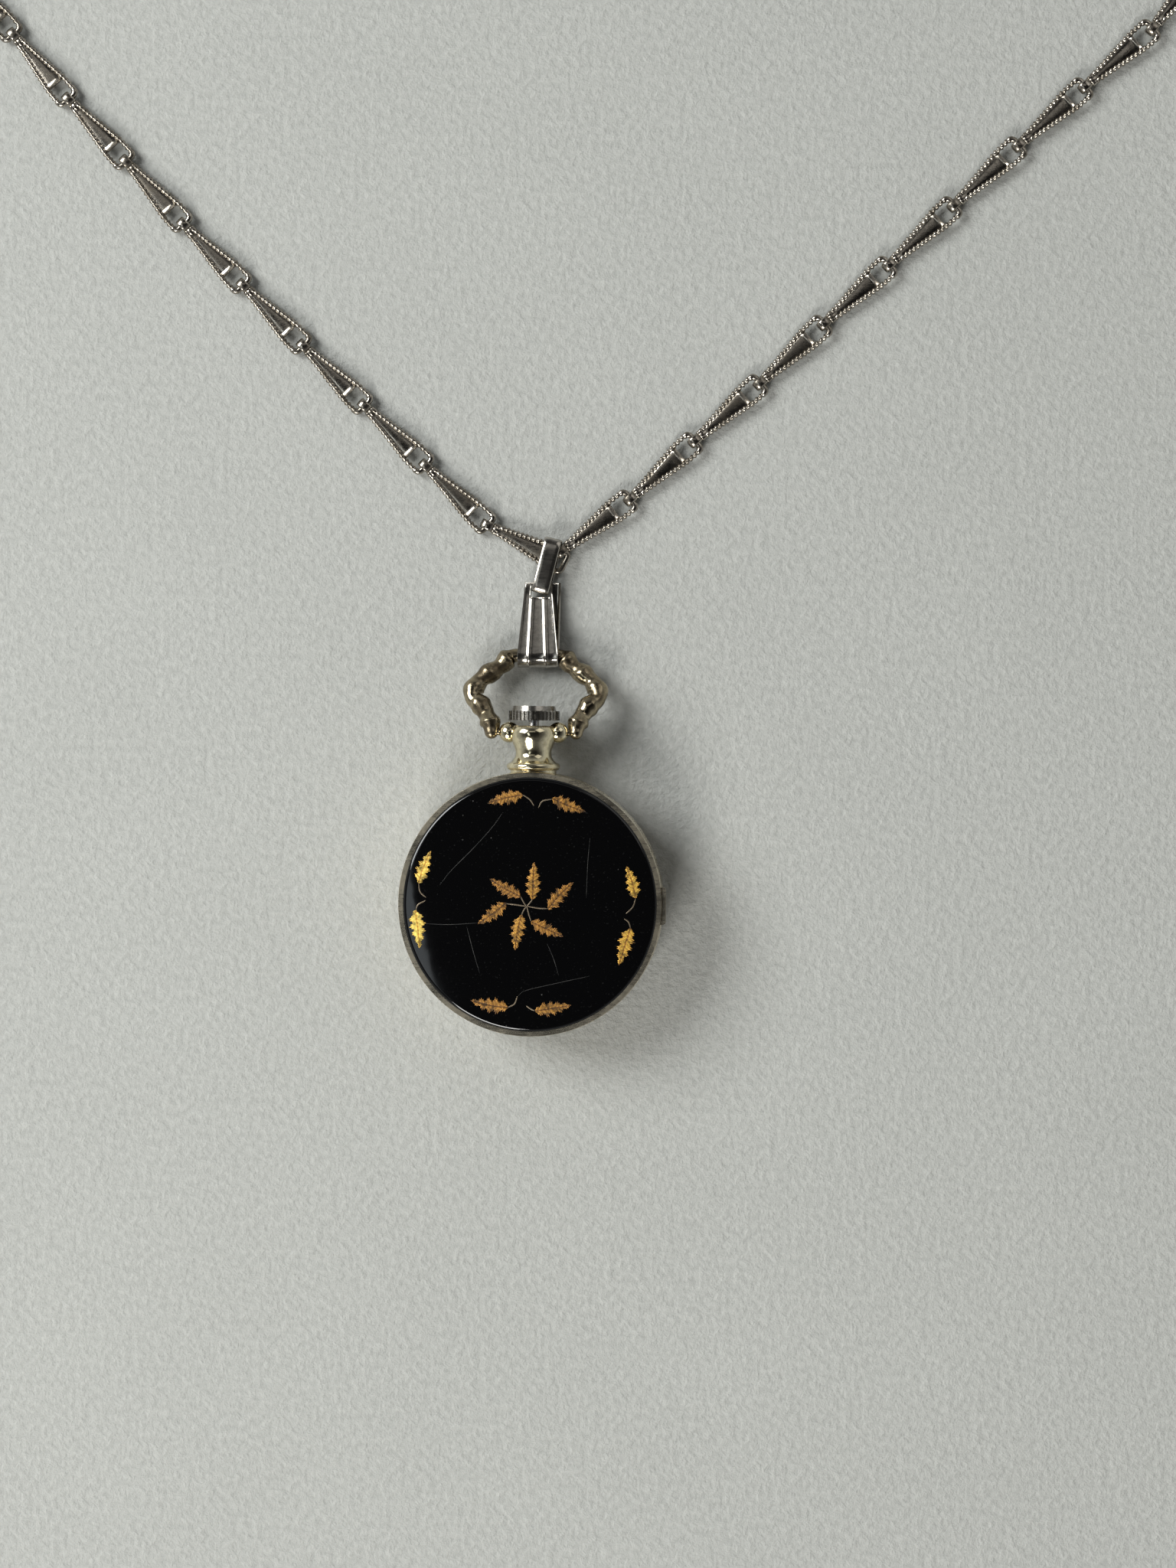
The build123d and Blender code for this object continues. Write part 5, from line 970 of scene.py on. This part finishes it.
class WATCH_OT_stage(bpy.types.Operator):
    """Sets the table, the soft light and the camera"""

    bl_idname = "watch.stage"
    bl_label = "Table, light and camera"

    def execute(self, context):
        scene = context.scene
        half_table, drop = 0.9, -0.00002
        x = np.linspace(-half_table, half_table, 3)
        a, b = np.meshgrid(x, x, indexing="ij")
        points = np.stack([a, b, np.full_like(a, drop)], axis=-1)
        mesh = bpy.data.meshes.new("table")
        mesh.from_pydata(points.reshape(-1, 3).tolist(), [], grid_faces(3, 3)[0].tolist())
        table = bpy.data.objects.new("table", mesh)
        scene.collection.objects.link(table)
        mesh.materials.append(finish("table paper"))
        lamps = [
            ("window", (-0.20, -0.46, 0.40), (0.26, 0.26), 2.9, (1.0, 0.99, 0.965), None),
            ("side window", (-0.45, 0.26, 0.42), (0.34, 0.34), 4.2, (0.98, 1.0, 1.0), None),
            ("far wall", (0.36, 0.40, 0.46), (0.4, 0.4), 0.35, (1.0, 0.98, 0.95), None),
            ("ceiling panel", (-0.226, -0.05, 0.60), (0.10, 0.27), 0.12, (0.9, 0.97, 1.0), 13.5),
            ("ceiling edge", (-0.04, 0.225, 0.60), (0.34, 0.13), 0.05, (1.0, 0.99, 0.97), 0.0),
        ]
        aimed_at = (0.0, 0.03, 0.0)
        for name, place, size, power, colour, level_turn in lamps:
            light = bpy.data.lights.new(name, "AREA")
            light.energy = power
            light.shape = "RECTANGLE"
            light.size, light.size_y = size
            light.color = colour
            lamp = bpy.data.objects.new(name, light)
            lamp.location = place
            aim = np.array(aimed_at) - np.array(place)
            tilt = math.atan2(math.hypot(aim[0], aim[1]), -aim[2])
            aimed = (tilt, 0.0, math.atan2(aim[0], -aim[1]) + math.pi)
            lamp.rotation_euler = aimed if level_turn is None else (0.0, 0.0, math.radians(level_turn))
            scene.collection.objects.link(lamp)
        world = bpy.data.worlds.new("room")
        scene.world = world
        world.use_nodes = True
        tree = world.node_tree
        back = next(n for n in tree.nodes if n.type == "BACKGROUND")
        sky = add(tree, "ShaderNodeTexCoord").outputs["Generated"]
        height = add(tree, "ShaderNodeSeparateXYZ", [("Vector", sky)]).outputs["Z"]
        walls = ramp(tree, height, [(0.0, (0.48, 0.49, 0.48)), (0.3, (0.31, 0.32, 0.32)),
                                    (0.62, 0.09), (0.9, 0.012)])
        tree.links.new(walls, back.inputs["Color"])
        back.inputs["Strength"].default_value = 1.0
        focal_rows, picture_rows, sensor = 4124.09, 2048, 36.0
        camera = bpy.data.cameras.new("camera")
        camera.sensor_fit = "VERTICAL"
        camera.sensor_height = sensor
        camera.lens = focal_rows / picture_rows * sensor
        camera.clip_start = 0.005
        camera.clip_end = 10.0
        viewer = bpy.data.objects.new("camera", camera)
        viewer.location = (0.023884, 0.015986, 0.290851)
        viewer.rotation_euler = (-0.017060, 0.065928, 0.009581)
        scene.collection.objects.link(viewer)
        scene.camera = viewer
        scene.view_settings.view_transform = "Standard"
        return {"FINISHED"}


class WATCH_PT_panel(bpy.types.Panel):
    """Lists the watch's settings and its makers"""

    bl_idname = "WATCH_PT_panel"
    bl_label = "Pendant watch"
    bl_space_type = "VIEW_3D"
    bl_region_type = "UI"
    bl_category = "Watch"

    def draw(self, context):
        for name in WatchSettings.__annotations__:
            self.layout.prop(context.scene.watch_settings, name)
        for maker in makers:
            self.layout.operator(maker.bl_idname)


makers = (
    WATCH_OT_case, WATCH_OT_enamel, WATCH_OT_bow, WATCH_OT_bail, WATCH_OT_chain, WATCH_OT_dial,
    WATCH_OT_movement, WATCH_OT_stage,
)


def register():
    """Registers the classes and the settings."""
    for cls in (WatchSettings, *makers, WATCH_PT_panel):
        bpy.utils.register_class(cls)
    bpy.types.Scene.watch_settings = bpy.props.PointerProperty(type=WatchSettings)


def unregister():
    """Removes the settings and the classes."""
    del bpy.types.Scene.watch_settings
    for cls in (WATCH_PT_panel, *reversed(makers), WatchSettings):
        bpy.utils.unregister_class(cls)


def main():
    """Builds every piece."""
    register()
    bpy.ops.watch.stage()
    bpy.ops.watch.case()
    bpy.ops.watch.enamel()
    bpy.ops.watch.bow()
    bpy.ops.watch.bail()
    bpy.ops.watch.chain()
    bpy.ops.watch.dial()
    bpy.ops.watch.movement()


if __name__ == "__main__":
    main()
